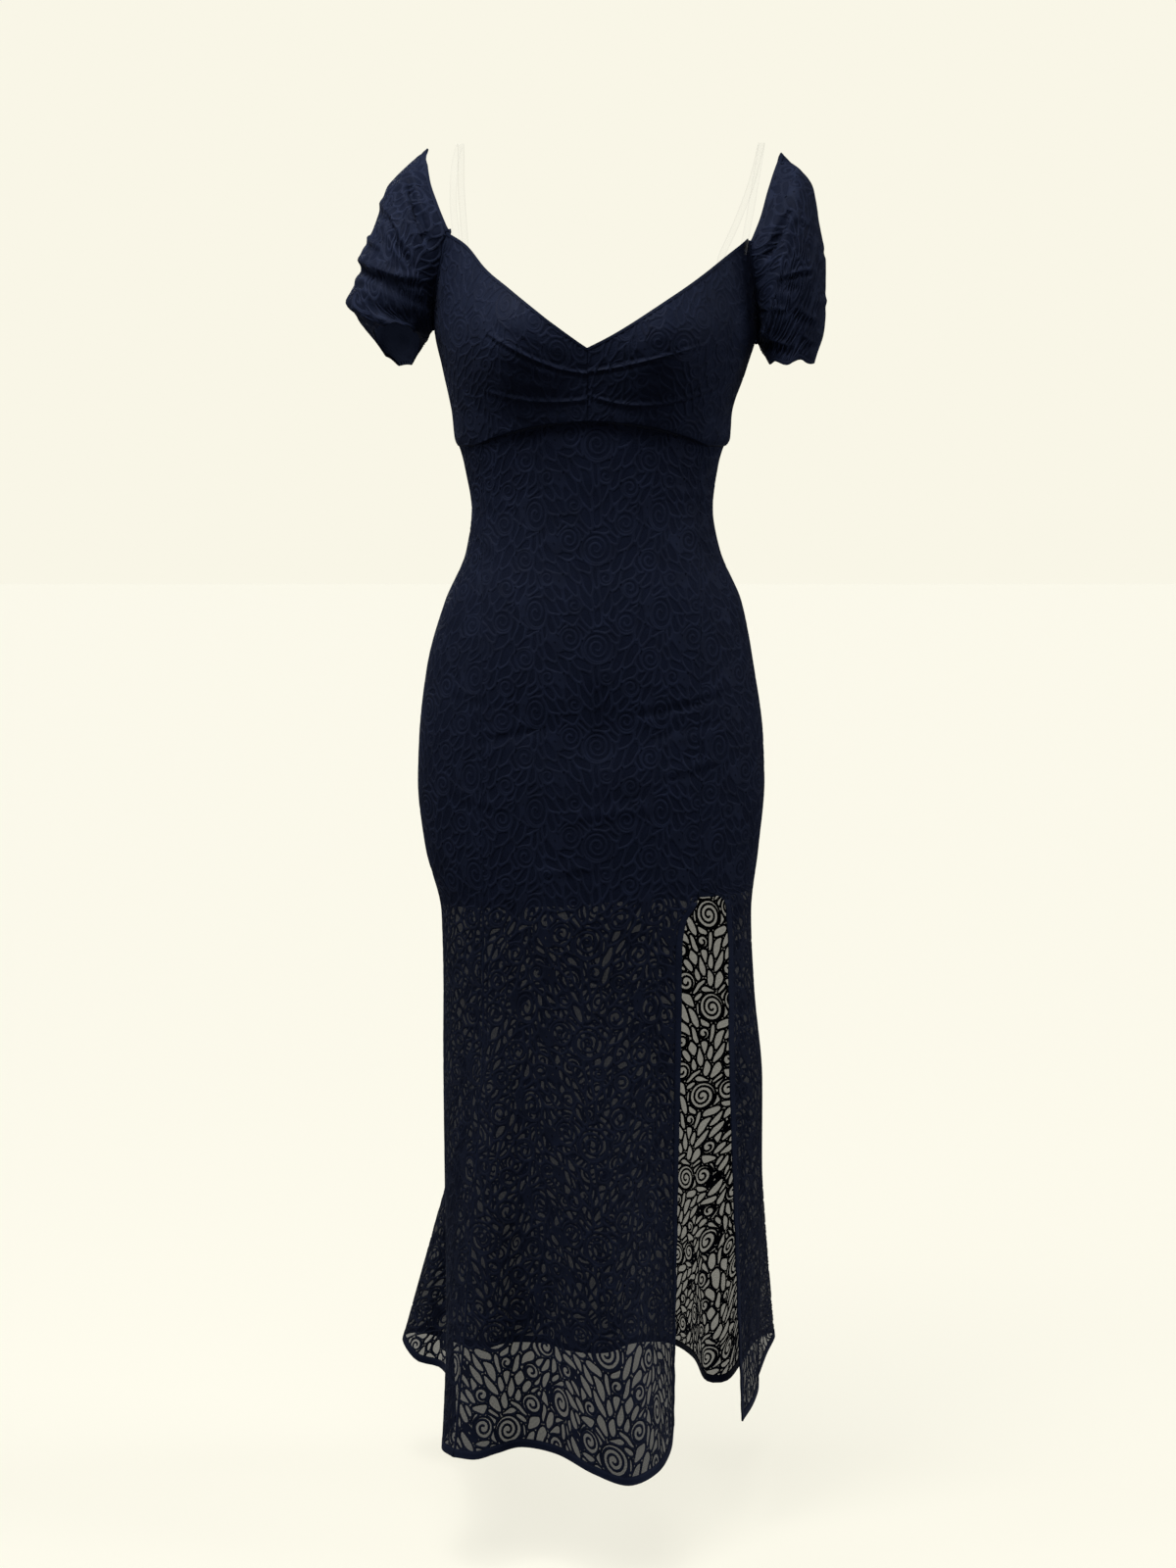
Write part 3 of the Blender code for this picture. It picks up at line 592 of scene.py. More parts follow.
SLEEVE_CREASES = {
    "left": (
        (-183.0, 168.0, -171.0, 126.0, -157.0, 86.0, -9.0, 3.6, -1.2, -2.2),
        (-205.0, 128.0, -190.0, 97.0, -174.0, 66.0, -5.0, 3.0, -1.4, -2.4),
        (-252.0, 101.0, -207.0, 70.0, -154.0, 61.0, 4.6, 3.8, -0.6, 2.6),
        (-244.0, 88.0, -203.0, 55.0, -154.0, 36.0, -3.0, 4.6, -1.2, -0.6),
        (-262.0, 60.0, -213.0, 25.0, -167.0, 14.0, 5.4, 4.8, 1.8, 0.0),
        (-262.0, 62.0, -234.0, 57.5, -212.0, 50.0, -1.5, 3.0, -0.4, -0.4),
        (-200.0, 172.0, -206.0, 150.0, -208.0, 132.0, 1.8, 4.0, 0.8, 0.8),
        (-232.0, 116.0, -219.0, 102.0, -203.0, 88.0, 2.2, 3.2, 0.8, 1.6),
        (-218.0, 156.0, -203.0, 130.0, -192.0, 116.0, 1.8, 3.2, 0.8, 1.2),
        (-240.0, 80.0, -224.0, 73.0, -206.0, 62.0, 2.0, 3.0, 0.6, 1.4),
        (-246.0, 44.0, -230.0, 34.0, -216.0, 22.0, 1.8, 3.0, 0.8, 1.0),
        (-178.0, 148.0, -170.0, 134.0, -160.0, 122.0, 1.6, 3.0, 0.6, 0.8),
    ),
    "right": (
        (168.0, 76.0, 182.0, 101.0, 199.0, 138.0, -8.0, 3.4, -1.0, -1.6),
        (180.0, 62.0, 201.0, 67.0, 222.0, 72.0, 2.4, 1.9, 0.5, 2.0),
        (178.0, 55.0, 191.0, 53.0, 206.0, 48.0, -2.2, 4.4, 0.0, -0.6),
        (160.0, 37.0, 178.0, 33.5, 198.0, 31.0, 2.2, 1.8, 0.4, 1.2),
        (158.0, 17.0, 180.0, 3.0, 204.0, -6.0, 2.6, 3.6, 0.4, 2.8),
        (206.0, 104.0, 220.0, 84.0, 229.0, 62.0, -1.8, 4.0, -0.4, -0.8),
        (205.0, 168.0, 214.0, 146.0, 216.0, 124.0, -1.4, 4.0, -0.8, -0.4),
        (182.0, 148.0, 192.0, 158.0, 206.0, 164.0, 1.3, 3.2, 0.4, 0.8),
        (186.0, 116.0, 204.0, 120.0, 222.0, 112.0, 1.5, 3.4, 0.4, 0.9),
        (196.0, 40.0, 214.0, 26.0, 228.0, 22.0, 1.8, 3.4, 0.6, 1.2),
        (252.0, 92.0, 234.0, 90.0, 222.0, 94.0, -1.8, 3.2, -0.5, -0.5),
        (252.0, 46.0, 236.0, 43.0, 220.0, 40.0, 1.8, 3.4, 0.8, 0.8),
        (204.0, 12.0, 216.0, 2.0, 226.0, 0.0, 1.6, 3.0, 0.6, 1.0),
    ),
}
SLEEVE_BACK_CREASES = {
    "left": (
        (-206.0, 158.0, -188.0, 118.0, -168.0, 92.0, -5.0, 6.0, -0.5, -2.5),
        (-226.0, 92.0, -204.0, 76.0, -172.0, 66.0, 4.5, 6.0, 1.2, 4.0),
        (-232.0, 56.0, -208.0, 42.0, -176.0, 38.0, -4.0, 5.0, -1.0, -2.0),
        (-226.0, 34.0, -206.0, 20.0, -182.0, 10.0, 2.5, 5.0, 0.5, 1.5),
    ),
    "right": (
        (174.0, 90.0, 192.0, 112.0, 206.0, 146.0, -5.0, 6.0, -2.5, -0.5),
        (180.0, 66.0, 204.0, 70.0, 228.0, 62.0, 3.8, 6.0, 1.0, 3.0),
        (182.0, 34.0, 208.0, 24.0, 230.0, 26.0, -3.4, 5.5, -1.0, -1.5),
    ),
}

# One repeat of the lace, mm, charted with +y up: roses wound as spirals, and leaf-shaped
# openings that fan out round them. Cords run between the openings.
TILE_W, TILE_H = 124.0, 98.0
CORD_WIDE = 3.3
ROSE_COLUMNS = ("x", "y", "radius", "up", "turns", "start")
ROSES = (
    (0.0, -1.0, 15.2, 1.06, 2.45, 200.0),
    (-26.5, 8.5, 11.2, 1.10, 1.75, 30.0),
    (29.0, 24.0, 11.0, 1.05, 1.75, 150.0),
    (-60.5, 33.0, 11.4, 1.42, 1.85, 20.0),
    (9.0, -30.0, 7.4, 1.0, 1.1, 90.0),
    (-49.0, -30.0, 7.4, 1.05, 1.1, 270.0),
    (52.5, -12.0, 10.0, 1.12, 1.55, 0.0),
    (-22.0, 41.0, 8.2, 1.05, 1.25, 60.0),
    (33.0, -40.0, 8.6, 1.08, 1.3, 240.0),
)
CELL_COLUMNS = ("x", "y", "turn", "length", "half", "curl")
CELLS = (
    (-0.8, 47.8, 92, 9.2, 4.0, -0.15), (-11.0, 47.7, 122, 11.0, 4.1, 0.09),
    (10.4, 42.6, 72, 9.7, 4.4, -0.11), (25.4, 41.2, 42, 9.6, 4.5, -0.12),
    (-45.9, 40.8, 131, 12.5, 4.6, 0.18), (33.6, 40.2, 21, 9.4, 4.4, -0.18),
    (-34.7, 39.6, 123, 10.2, 3.8, -0.07), (50.6, 39.1, 81, 12.4, 4.6, -0.09),
    (37.3, 36.2, 177, 10.2, 4.1, -0.19), (44.1, 33.3, 110, 11.0, 4.4, -0.08),
    (15.1, 31.7, 75, 10.2, 3.8, -0.18), (1.4, 30.3, 87, 9.7, 3.6, 0.07),
    (-9.2, 29.2, 106, 11.3, 4.9, 0.20), (-26.1, 27.0, 0, 10.9, 4.8, 0.08),
    (-38.7, 26.5, 115, 9.4, 4.0, 0.10), (52.3, 23.0, 141, 8.2, 3.3, -0.18),
    (-45.0, 22.2, 97, 12.3, 5.2, 0.10), (-13.5, 22.1, 132, 10.1, 3.9, 0.11),
    (15.3, 19.6, 131, 9.4, 3.8, -0.14), (-34.3, 18.6, 65, 10.0, 4.2, -0.19),
    (4.7, 17.7, 13, 10.5, 4.2, -0.19), (41.3, 17.7, 74, 10.4, 4.2, 0.03),
    (-14.8, 14.8, 117, 8.7, 3.7, 0.05), (60.2, 14.4, 22, 9.4, 3.6, 0.19),
    (-51.0, 14.1, 74, 9.7, 3.9, 0.14), (48.1, 11.6, 66, 12.3, 5.1, 0.09),
    (16.0, 9.4, 141, 9.7, 3.6, 0.14), (-55.2, 8.0, 80, 9.2, 4.1, 0.11),
    (28.4, 5.3, 41, 12.3, 4.6, 0.06), (-61.5, 4.9, 85, 11.7, 4.8, -0.07),
    (-41.5, 4.5, 123, 11.0, 5.1, -0.05), (52.5, 2.8, 33, 9.9, 4.6, -0.11),
    (17.1, -3.5, 90, 10.3, 3.9, 0.16), (-16.8, -4.4, 107, 11.9, 5.2, -0.18),
    (-46.2, -5.2, 116, 12.0, 5.4, 0.08), (-55.1, -5.4, 113, 9.8, 3.7, 0.05),
    (-29.4, -7.3, 169, 9.4, 3.6, -0.03), (34.1, -7.3, 58, 12.2, 5.2, -0.11),
    (13.0, -10.8, 72, 9.7, 3.9, 0.19), (21.2, -14.3, 66, 11.3, 4.7, 0.12),
    (-57.8, -15.8, 96, 12.4, 5.3, 0.13), (41.4, -16.2, 116, 12.5, 5.7, -0.13),
    (-14.1, -17.2, 140, 11.8, 4.7, -0.09), (-32.9, -17.4, 126, 9.8, 4.0, -0.04),
    (8.7, -18.4, 50, 10.9, 5.0, 0.08), (-44.1, -19.2, 140, 12.1, 4.5, -0.03),
    (-22.0, -24.7, 122, 8.7, 3.3, 0.16), (31.5, -25.7, 43, 12.2, 5.0, -0.14),
    (-0.9, -28.5, 94, 11.7, 4.2, -0.04), (43.1, -29.0, 39, 9.0, 4.2, -0.04),
    (59.9, -29.7, 76, 12.0, 4.5, -0.07), (50.0, -31.9, 62, 10.8, 4.6, -0.05),
    (-36.5, -32.5, 120, 12.2, 5.4, 0.05), (-56.6, -32.6, 116, 10.1, 4.5, -0.13),
    (19.0, -33.6, 74, 10.2, 3.9, 0.05), (-9.5, -34.3, 107, 11.3, 4.4, -0.18),
    (-24.2, -37.3, 124, 12.1, 4.7, 0.18), (60.0, -41.5, 48, 8.4, 3.8, 0.03),
    (-39.0, -43.1, 123, 10.3, 4.1, -0.12), (6.6, -44.2, 78, 9.0, 4.1, 0.04),
    (-47.6, -44.8, 137, 9.4, 4.0, -0.09), (48.6, -45.7, 65, 12.2, 5.0, 0.10),
    (-29.6, -46.1, 105, 12.3, 5.1, -0.08), (-61.1, -46.7, 30, 10.6, 4.0, -0.18),
    (20.4, -48.4, 61, 10.5, 4.9, 0.19), (39.3, -48.6, 57, 10.6, 4.1, 0.03),
)
SOLID = (7, 30, 52, 66)               # leaves worked solid
CORD_TURN, CORD_STEP = 26.0, 3.4      # a cord has a point each so many degrees or mm


# ---------------------------------------------------------------- looks: lace chart
def thin_out(p):
    """Keeps the points of a fine line where it has turned or run far enough."""
    d = np.diff(p, axis=0)
    heading = np.degrees(np.unwrap(np.arctan2(d[:, 1], d[:, 0])))
    step = np.linalg.norm(d, axis=1)
    keep, turned, run = [0], 0.0, 0.0
    for k in range(1, len(p) - 1):
        turned += abs(heading[k] - heading[k - 1])
        run += step[k - 1]
        if (turned >= CORD_TURN and run > 0.7) or run >= CORD_STEP:
            keep.append(k)
            turned = run = 0.0
    keep.append(len(p) - 1)
    return p[keep]


def taper(n, low, part=0.14):
    t = np.linspace(0, 1, n)
    return low + (1 - low) * np.clip(np.minimum(t, 1 - t) / part, 0, 1)


def wrapped(d, size):
    return (d + size / 2) % size - size / 2


def cell_measure(dx, dy, cell):
    """How far out in a leaf-shaped opening a point is."""
    turn, length, half, curl = cell[2:6]
    c, s = math.cos(math.radians(turn)), math.sin(math.radians(turn))
    u, v = dx * c + dy * s, -dx * s + dy * c
    v = v - curl * (length - u * u / length)
    return (np.abs(u) / length) ** 1.7 + (np.abs(v) / half) ** 1.7


def rose_measure(dx, dy, rose):
    d = np.hypot(dx, dy / rose[3]) / rose[2]
    return np.where(d < 1.0, 0.0, d ** 6 * 3.0)


def even_loop(p, step):
    """A closed line with points each so many mm."""
    p = np.concatenate([p, p[:1]])
    run = np.concatenate([[0], np.cumsum(np.linalg.norm(np.diff(p, axis=0), axis=1))])
    n = max(8, int(round(run[-1] / step)))
    at = np.linspace(0, run[-1], n + 1)
    return np.stack([np.interp(at, run, p[:, k]) for k in range(2)], axis=1)


def softened(r, times):
    for _ in range(times):
        r = 0.25 * np.roll(r, 1, axis=0) + 0.5 * r + 0.25 * np.roll(r, -1, axis=0)
    return r


def border(p, inset, solid):
    """Half a cord inside a closed line: its edge, its shoulder and its crown."""
    loop = even_loop(p, 3.05)[:-1]
    d = np.roll(loop, -1, axis=0) - np.roll(loop, 1, axis=0)
    n = np.stack([-d[:, 1], d[:, 0]], axis=1)
    n /= np.maximum(np.linalg.norm(d, axis=1), 1e-9)[:, None]
    centre = loop.mean(axis=0)
    if ((centre - loop) * n).sum() < 0:
        n = -n
    edge = softened(loop + n * inset, 2)
    if solid:
        edge = centre + (loop - centre) * 0.12
    crown = loop - n * 0.35
    shoulder = loop + (edge - loop) * 0.5
    return [np.concatenate([a, a[:1]]) for a in (edge, shoulder, crown)]


def chart_arrays():
    """One repeat as strips of three lines with their heights, and where each strip ends."""
    lines, heights, last = ([], [], []), ([], [], []), []

    def strip(three, high):
        for store, line in zip(lines, three):
            store.append(line)
        for store, h in zip(heights, high):
            store.append(np.full(len(three[0]), h))
        end = np.zeros(len(three[0]), bool)
        end[-1] = True
        last.append(end)

    turn = np.radians(np.arange(0, 360, 7.5))
    ray = np.stack([np.cos(turn), np.sin(turn)], axis=1)
    steps = np.arange(1.0, 26.0, 0.25)
    for index, cell in enumerate(CELLS):
        px, py = cell[0] + ray[:, 0:1] * steps, cell[1] + ray[:, 1:2] * steps
        own = cell_measure(px - cell[0], py - cell[1], cell)
        other = np.full(px.shape, 1e9)
        for k, c in enumerate(CELLS):
            if k != index:
                other = np.minimum(other, cell_measure(wrapped(px - c[0], TILE_W),
                                                       wrapped(py - c[1], TILE_H), c))
        for rose in ROSES:
            other = np.minimum(other, rose_measure(wrapped(px - rose[0], TILE_W),
                                                   wrapped(py - rose[1], TILE_H), rose))
        out = other < own
        first = np.where(out.any(axis=1), out.argmax(axis=1), len(steps) - 1)
        r = softened(steps[first], 1)
        p = np.stack([cell[0] + ray[:, 0] * r, cell[1] + ray[:, 1] * r], axis=1)
        solid = index in SOLID
        strip(border(p, CORD_WIDE / 2, solid), (0.8 if solid else 0.0, 0.85, 1.0))
    for x, y, radius, up, turns, start in ROSES:
        t = np.linspace(0, 2 * math.pi, 90)[:-1]
        p = np.stack([x + radius * np.cos(t), y + up * radius * np.sin(t)], axis=1)
        strip(border(p, CORD_WIDE / 2, False), (0.0, 0.85, 1.0))
        t = np.linspace(0, 1, int(turns * 90))
        a = math.radians(start) + 2 * math.pi * turns * t
        r = 1.4 + (radius - 1.9) * t ** 0.95
        p = thin_out(np.stack([x + r * np.cos(a), y + up * r * np.sin(a)], axis=1))
        d = np.gradient(p, axis=0)
        n = np.stack([-d[:, 1], d[:, 0]], axis=1)
        n /= np.maximum(np.linalg.norm(d, axis=1), 1e-9)[:, None]
        w = (CORD_WIDE * 0.43 * taper(len(p), 0.6, 0.08))[:, None]
        strip((p - n * w, p, p + n * w), (0.0, 1.0, 0.0))
    left, mid, right = (np.concatenate(a) for a in lines)
    low, middle, high = (np.concatenate(a) for a in heights)
    return mid, left, right, np.concatenate(last), low, middle, high


CHART = chart_arrays()


# ---------------------------------------------------------------- looks: cloth grids
def refine(grid, rows, columns):
    """A finer grid through the same points, by smooth curves both ways."""
    def one(g, n):
        m = len(g)
        t = np.linspace(0, m - 1, n)
        i = np.minimum(t.astype(int), m - 2)
        f = (t - i).reshape((-1,) + (1,) * (g.ndim - 1))
        e = np.concatenate([2 * g[:1] - g[1:2], g, 2 * g[-1:] - g[-2:-1]])
        a, b, c, d = e[i], e[i + 1], e[i + 2], e[i + 3]
        return 0.5 * (2 * b + (c - a) * f + (2 * a - 5 * b + 4 * c - d) * f ** 2
                      + (3 * b - a - 3 * c + d) * f ** 3)
    g = one(np.asarray(grid, float), rows)
    return one(g.swapaxes(0, 1), columns).swapaxes(0, 1)


def normals(grid, centre_x=0.0, inward=False):
    """Outward unit normals of a grid, away from the body's own axis."""
    du, dv = np.gradient(grid, axis=1), np.gradient(grid, axis=0)
    n = np.cross(du, dv)
    n /= np.maximum(np.linalg.norm(n, axis=2), 1e-9)[:, :, None]
    away = grid - np.array([centre_x, 0.0, 0.0])
    away[:, :, 2] = 0
    if (n * away).sum() < 0:
        n = -n
    return n


def crease(grid, norm, rows, back=False, round_side=0.15):
    """How far each point moves along its normal."""
    x, z = grid[:, :, 0], grid[:, :, 2]
    face = norm[:, :, 1] if back else -norm[:, :, 1]
    weight = np.clip(face * 2.2 + round_side, 0, 1)
    move = np.zeros_like(x)
    t = np.linspace(0, 1, 25)
    for x0, z0, x1, z1, x2, z2, ridge, wide, above, below in rows:
        px = (1 - t) ** 2 * x0 + 2 * t * (1 - t) * (2 * x1 - (x0 + x2) / 2) + t * t * x2
        pz = (1 - t) ** 2 * z0 + 2 * t * (1 - t) * (2 * z1 - (z0 + z2) / 2) + t * t * z2
        far = 5 * wide + 4
        near = (x > px.min() - far) & (x < px.max() + far) & (z > pz.min() - far) \
            & (z < pz.max() + far) & (weight > 0)
        if not near.any():
            continue
        qx, qz = x[near], z[near]
        best, sign, share = np.full(qx.shape, 1e9), np.ones(qx.shape), np.zeros(qx.shape)
        for k in range(24):
            ex, ez = px[k + 1] - px[k], pz[k + 1] - pz[k]
            length = ex * ex + ez * ez
            f = np.clip(((qx - px[k]) * ex + (qz - pz[k]) * ez) / length, 0, 1)
            d = np.hypot(qx - px[k] - f * ex, qz - pz[k] - f * ez)
            side = np.sign(ex * (qz - pz[k]) - ez * (qx - px[k]))
            closer = d < best
            best = np.where(closer, d, best)
            sign = np.where(closer, side, sign)
            share = np.where(closer, (k + f) / 24, share)
        fade = np.sin(math.pi * np.clip(share, 0.02, 0.98)) ** 0.4
        q = best * sign
        m = ridge * np.exp(-(q / wide) ** 2)
        m -= above * np.exp(-((q - 1.9 * wide) / (1.2 * wide)) ** 2)
        m -= below * np.exp(-((q + 1.9 * wide) / (1.2 * wide)) ** 2)
        end = np.clip(np.minimum(share, 1 - share) * 6, 0, 1)
        move[near] += m * np.maximum(fade * end, 0.0)
    return move * weight


def shaped(grid, front=(), back=(), centre_x=0.0, round_side=0.15):
    n = normals(grid, centre_x)
    move = crease(grid, n, front, False, round_side) + crease(grid, n, back, True, round_side)
    out = grid + n * move[:, :, None]
    return out, normals(out, centre_x)


def flat_coordinates(grid, centre=0.5):
    """Cloth coordinates of a grid, mm: across from its grain line, and down."""
    step = np.linalg.norm(np.diff(grid, axis=1), axis=2)
    s = np.concatenate([np.zeros((len(grid), 1)), np.cumsum(step, axis=1)], axis=1)
    middle = centre * (grid.shape[1] - 1)
    i = min(int(middle), grid.shape[1] - 2)
    s = s - (s[:, i] + (s[:, i + 1] - s[:, i]) * (middle - i))[:, None]
    down = np.linalg.norm(np.diff(grid, axis=0), axis=2).mean(axis=1)
    return s, np.concatenate([[0], np.cumsum(down)])


def add_piece(name, verts, faces, look, smooth=True, uv=None):
    mesh = bpy.data.meshes.new(name)
    verts = np.asarray(verts, float) * MM
    faces = np.asarray(faces, np.int32)
    mesh.vertices.add(len(verts))
    mesh.vertices.foreach_set("co", verts.astype(np.float32).ravel())
    count = faces.shape[1]
    mesh.loops.add(faces.size)
    mesh.loops.foreach_set("vertex_index", faces.ravel())
    mesh.polygons.add(len(faces))
    mesh.polygons.foreach_set("loop_start", np.arange(0, faces.size, count, dtype=np.int32))
    mesh.update(calc_edges=True)
    mesh.validate()
    if smooth:
        mesh.shade_smooth()
    if uv is not None:
        layer = mesh.uv_layers.new(name="cloth")
        index = np.zeros(len(mesh.loops), np.int32)
        mesh.loops.foreach_get("vertex_index", index)
        layer.data.foreach_set("uv", (np.asarray(uv, float) * MM)[index].astype(np.float32).ravel())
    obj = bpy.data.objects.new(name, mesh)
    bpy.context.scene.collection.objects.link(obj)
    mesh.materials.append(look)
    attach(obj, "root")
    return obj


def grid_faces(rows, columns):
    a = np.arange(rows * columns).reshape(rows, columns)
    return np.stack([a[:-1, :-1], a[:-1, 1:], a[1:, 1:], a[1:, :-1]], axis=-1).reshape(-1, 4)


def facing(verts, faces, norm):
    """Faces turned so that they look along the given normals."""
    v = verts[faces]
    n = np.cross(v[:, 1] - v[:, 0], v[:, 2] - v[:, 0])
    if (n * norm[faces[:, 0]]).sum() < 0:
        faces = faces[:, ::-1]
    return faces


def ground(name, grid, norm, look, depth=NET_DEPTH, centre=0.5):
    rows, columns = grid.shape[:2]
    verts = (grid - norm * depth).reshape(-1, 3)
    s, t = flat_coordinates(grid, centre)
    uv = np.stack([s, np.repeat(-t[:, None], columns, axis=1)], axis=2).reshape(-1, 2)
    faces = facing(verts, grid_faces(rows, columns), norm.reshape(-1, 3))
    return add_piece(name, verts, faces, look, uv=uv)


def inside(name, grid, look, front=(), back=(), centre_x=0.0, round_side=0.15, depth=1.2):
    """The wrong side of backed cloth: a coarser sheet that stays inside its right side."""
    n = normals(grid, centre_x)
    move = crease(grid, n, front, False, round_side) + crease(grid, n, back, True, round_side)
    for _ in range(3):
        wide = np.pad(move, 1, mode="edge")
        move = np.min([wide[a:a + move.shape[0], b:b + move.shape[1]]
                       for a in range(3) for b in range(3)], axis=0)
    keep = [np.unique(np.round(np.linspace(0, k - 1, k // 3)).astype(int)) for k in grid.shape[:2]]
    g = (grid + n * move[:, :, None])[np.ix_(*keep)]
    return ground(name, g, n[np.ix_(*keep)], look, depth=depth)


def lace(name, grid, norm, look, shift=(0.0, 0.0), centre=0.5, base=NET_DEPTH, high=CORD_HIGH,
         rows_kept=None, scale=1.0, flat=None, true_down=False):
    """Cords of the lace over a grid, laid from the flat chart."""
    s, t = flat_coordinates(grid if flat is None else flat, centre)
    rows, columns = grid.shape[:2]
    across = np.arange(s.min() - 1, s.max() + 2, 1.0)
    inverse = np.stack([np.interp(across, s[r], np.arange(columns), left=-0.5,
                                  right=columns - 0.5) for r in range(rows)])
    if true_down:
        body = grid if flat is None else flat
        fall = np.linalg.norm(np.diff(body, axis=0), axis=2)
        fall = np.concatenate([np.zeros((1, columns)), np.cumsum(fall, axis=0)])
        fall = fall - fall[rows // 2] + t[rows // 2]
        downs = np.arange(fall.min() - 1, fall.max() + 2, 1.0)
        by_column = np.stack([np.interp(downs, fall[:, c], np.arange(rows), left=-0.5,
                                        right=rows - 0.5) for c in range(columns)])

    def look_up(table, i, k):
        i = np.clip(i, 0, table.shape[0] - 1.001)
        k = np.clip(k, 0, table.shape[1] - 1.001)
        i0, k0 = i.astype(int), k.astype(int)
        fi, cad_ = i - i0, k - k0
        return (table[i0, k0] * (1 - fi) * (1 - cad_) + table[i0 + 1, k0] * fi * (1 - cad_)
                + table[i0, k0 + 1] * (1 - fi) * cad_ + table[i0 + 1, k0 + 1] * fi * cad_)

    def place(points, lift):
        u, v = points[:, 0], -points[:, 1]
        r = np.interp(v, t, np.arange(rows))
        c = look_up(inverse, r, u - across[0])
        inside = (v > t[0]) & (v < t[-1])
        if true_down:
            for _ in range(5):
                r = 0.5 * r + 0.5 * look_up(by_column, c, v - downs[0])
                c = 0.5 * c + 0.5 * look_up(inverse, r, u - across[0])
            inside = (r > 0.0) & (r < rows - 1.0)
            r = np.clip(r, 0, rows - 1.001)
        inside = inside & (c > -0.02) & (c < columns - 0.98) & (u > across[0]) & (u < across[-1])
        r0 = np.minimum(r.astype(int), rows - 2)
        fr = r - r0
        c = np.clip(c, 0, columns - 1.001)
        c0 = np.minimum(c.astype(int), columns - 2)
        fc = (c - c0)[:, None]
        fr = fr[:, None]
        def mix(a):
            return (a[r0, c0] * (1 - fr) * (1 - fc) + a[r0 + 1, c0] * fr * (1 - fc)
                    + a[r0, c0 + 1] * (1 - fr) * fc + a[r0 + 1, c0 + 1] * fr * fc)
        n = mix(norm)
        n /= np.maximum(np.linalg.norm(n, axis=1), 1e-9)[:, None]
        return mix(grid) + n * lift, inside

    mid, left, right, end, low_h, mid_h, high_h = CHART
    low, top = np.array([s.min(), -t[-1]]), np.array([s.max(), 0.0])
    if true_down:
        low[1], top[1] = -fall.max(), -fall.min()
    verts, faces, uvs, total = [], [], [], 0
    shift = np.asarray(shift, float)
    for i in range(math.floor((low[0] - shift[0]) / TILE_W / scale) - 1,
                   math.ceil((top[0] - shift[0]) / TILE_W / scale) + 2):
        for j in range(math.floor((low[1] - shift[1]) / TILE_H / scale) - 1,
                       math.ceil((top[1] - shift[1]) / TILE_H / scale) + 2):
            move = shift + np.array([i * TILE_W, j * TILE_H]) * scale
            m = mid * scale + move
            near = ((m > low - 60 * scale) & (m < top + 60 * scale)).all(axis=1)
            if not near.any():
                continue
            pm, ok = place(m, (high * mid_h - base)[:, None])
            if rows_kept is not None:
                ok &= (-m[:, 1] > rows_kept[0]) & (-m[:, 1] <= rows_kept[1])
            pair = ok[:-1] & ok[1:] & ~end[:-1]
            if not pair.any():
                continue
            pl, _ = place(left * scale + move, (high * low_h - base + 0.05)[:, None])
            pr, _ = place(right * scale + move, (high * high_h - base + 0.05)[:, None])
            used = np.zeros(len(m), bool)
            used[:-1] |= pair
            used[1:] |= pair
            index = np.cumsum(used) - 1
            block = np.stack([pl[used], pm[used], pr[used]], axis=1).reshape(-1, 3)
            k = index[np.nonzero(pair)[0]]
            a = total + 3 * k
            faces.append(np.stack([a, a + 3, a + 4, a + 1], axis=1))
            faces.append(np.stack([a + 1, a + 4, a + 5, a + 2], axis=1))
            verts.append(block)
            uvs.append(np.repeat(m[used], 3, axis=0))
            total += len(block)
    verts, faces = np.concatenate(verts), np.concatenate(faces)
    v = verts[faces[:400]]
    obj = add_piece(name, verts, faces, look, uv=np.concatenate(uvs))
    flip_to_match(obj, grid, norm)
    return obj


def flip_to_match(obj, grid, norm):
    """Turns the cords' faces outwards, by the normals of the cloth under the first ones."""
    mesh = obj.data
    co = np.zeros(len(mesh.vertices) * 3, np.float32)
    mesh.vertices.foreach_get("co", co)
    co = co.reshape(-1, 3) / MM
    face = np.zeros(len(mesh.loops), np.int32)
    mesh.loops.foreach_get("vertex_index", face)
    face = face.reshape(-1, 4)
    pick = face[:: max(1, len(face) // 60)]
    n = np.cross(co[pick[:, 1]] - co[pick[:, 0]], co[pick[:, 2]] - co[pick[:, 0]])
    flat_grid, flat_norm = grid[::4, ::4].reshape(-1, 3), norm[::4, ::4].reshape(-1, 3)
    score = 0.0
    for p, q in zip(co[pick[:, 0]], n):
        near = np.argmin(((flat_grid - p) ** 2).sum(axis=1))
        score += float(flat_norm[near] @ q)
    if score < 0:
        mesh.flip_normals()


def edge_lines(grid, norm, side, distances):
    """Points at set distances from one edge of a grid, following the cloth."""
    if side in ("left", "right"):
        grid, norm = grid.swapaxes(0, 1), norm.swapaxes(0, 1)
    if side in ("bottom", "right"):
        grid, norm = grid[::-1], norm[::-1]
    steps = np.linalg.norm(np.diff(grid[:40], axis=0), axis=2)
    run = np.concatenate([np.zeros((1, grid.shape[1])), np.cumsum(steps, axis=0)])
    lines, ns = [], []
    for d in distances:
        p, n = [], []
        for c in range(grid.shape[1]):
            p.append([np.interp(d, run[:, c], grid[:len(run), c, k]) for k in range(3)])
            n.append([np.interp(d, run[:, c], norm[:len(run), c, k]) for k in range(3)])
        lines.append(p)
        ns.append(n)
    ns = np.array(ns)
    return np.array(lines), ns / np.linalg.norm(ns, axis=2)[:, :, None]


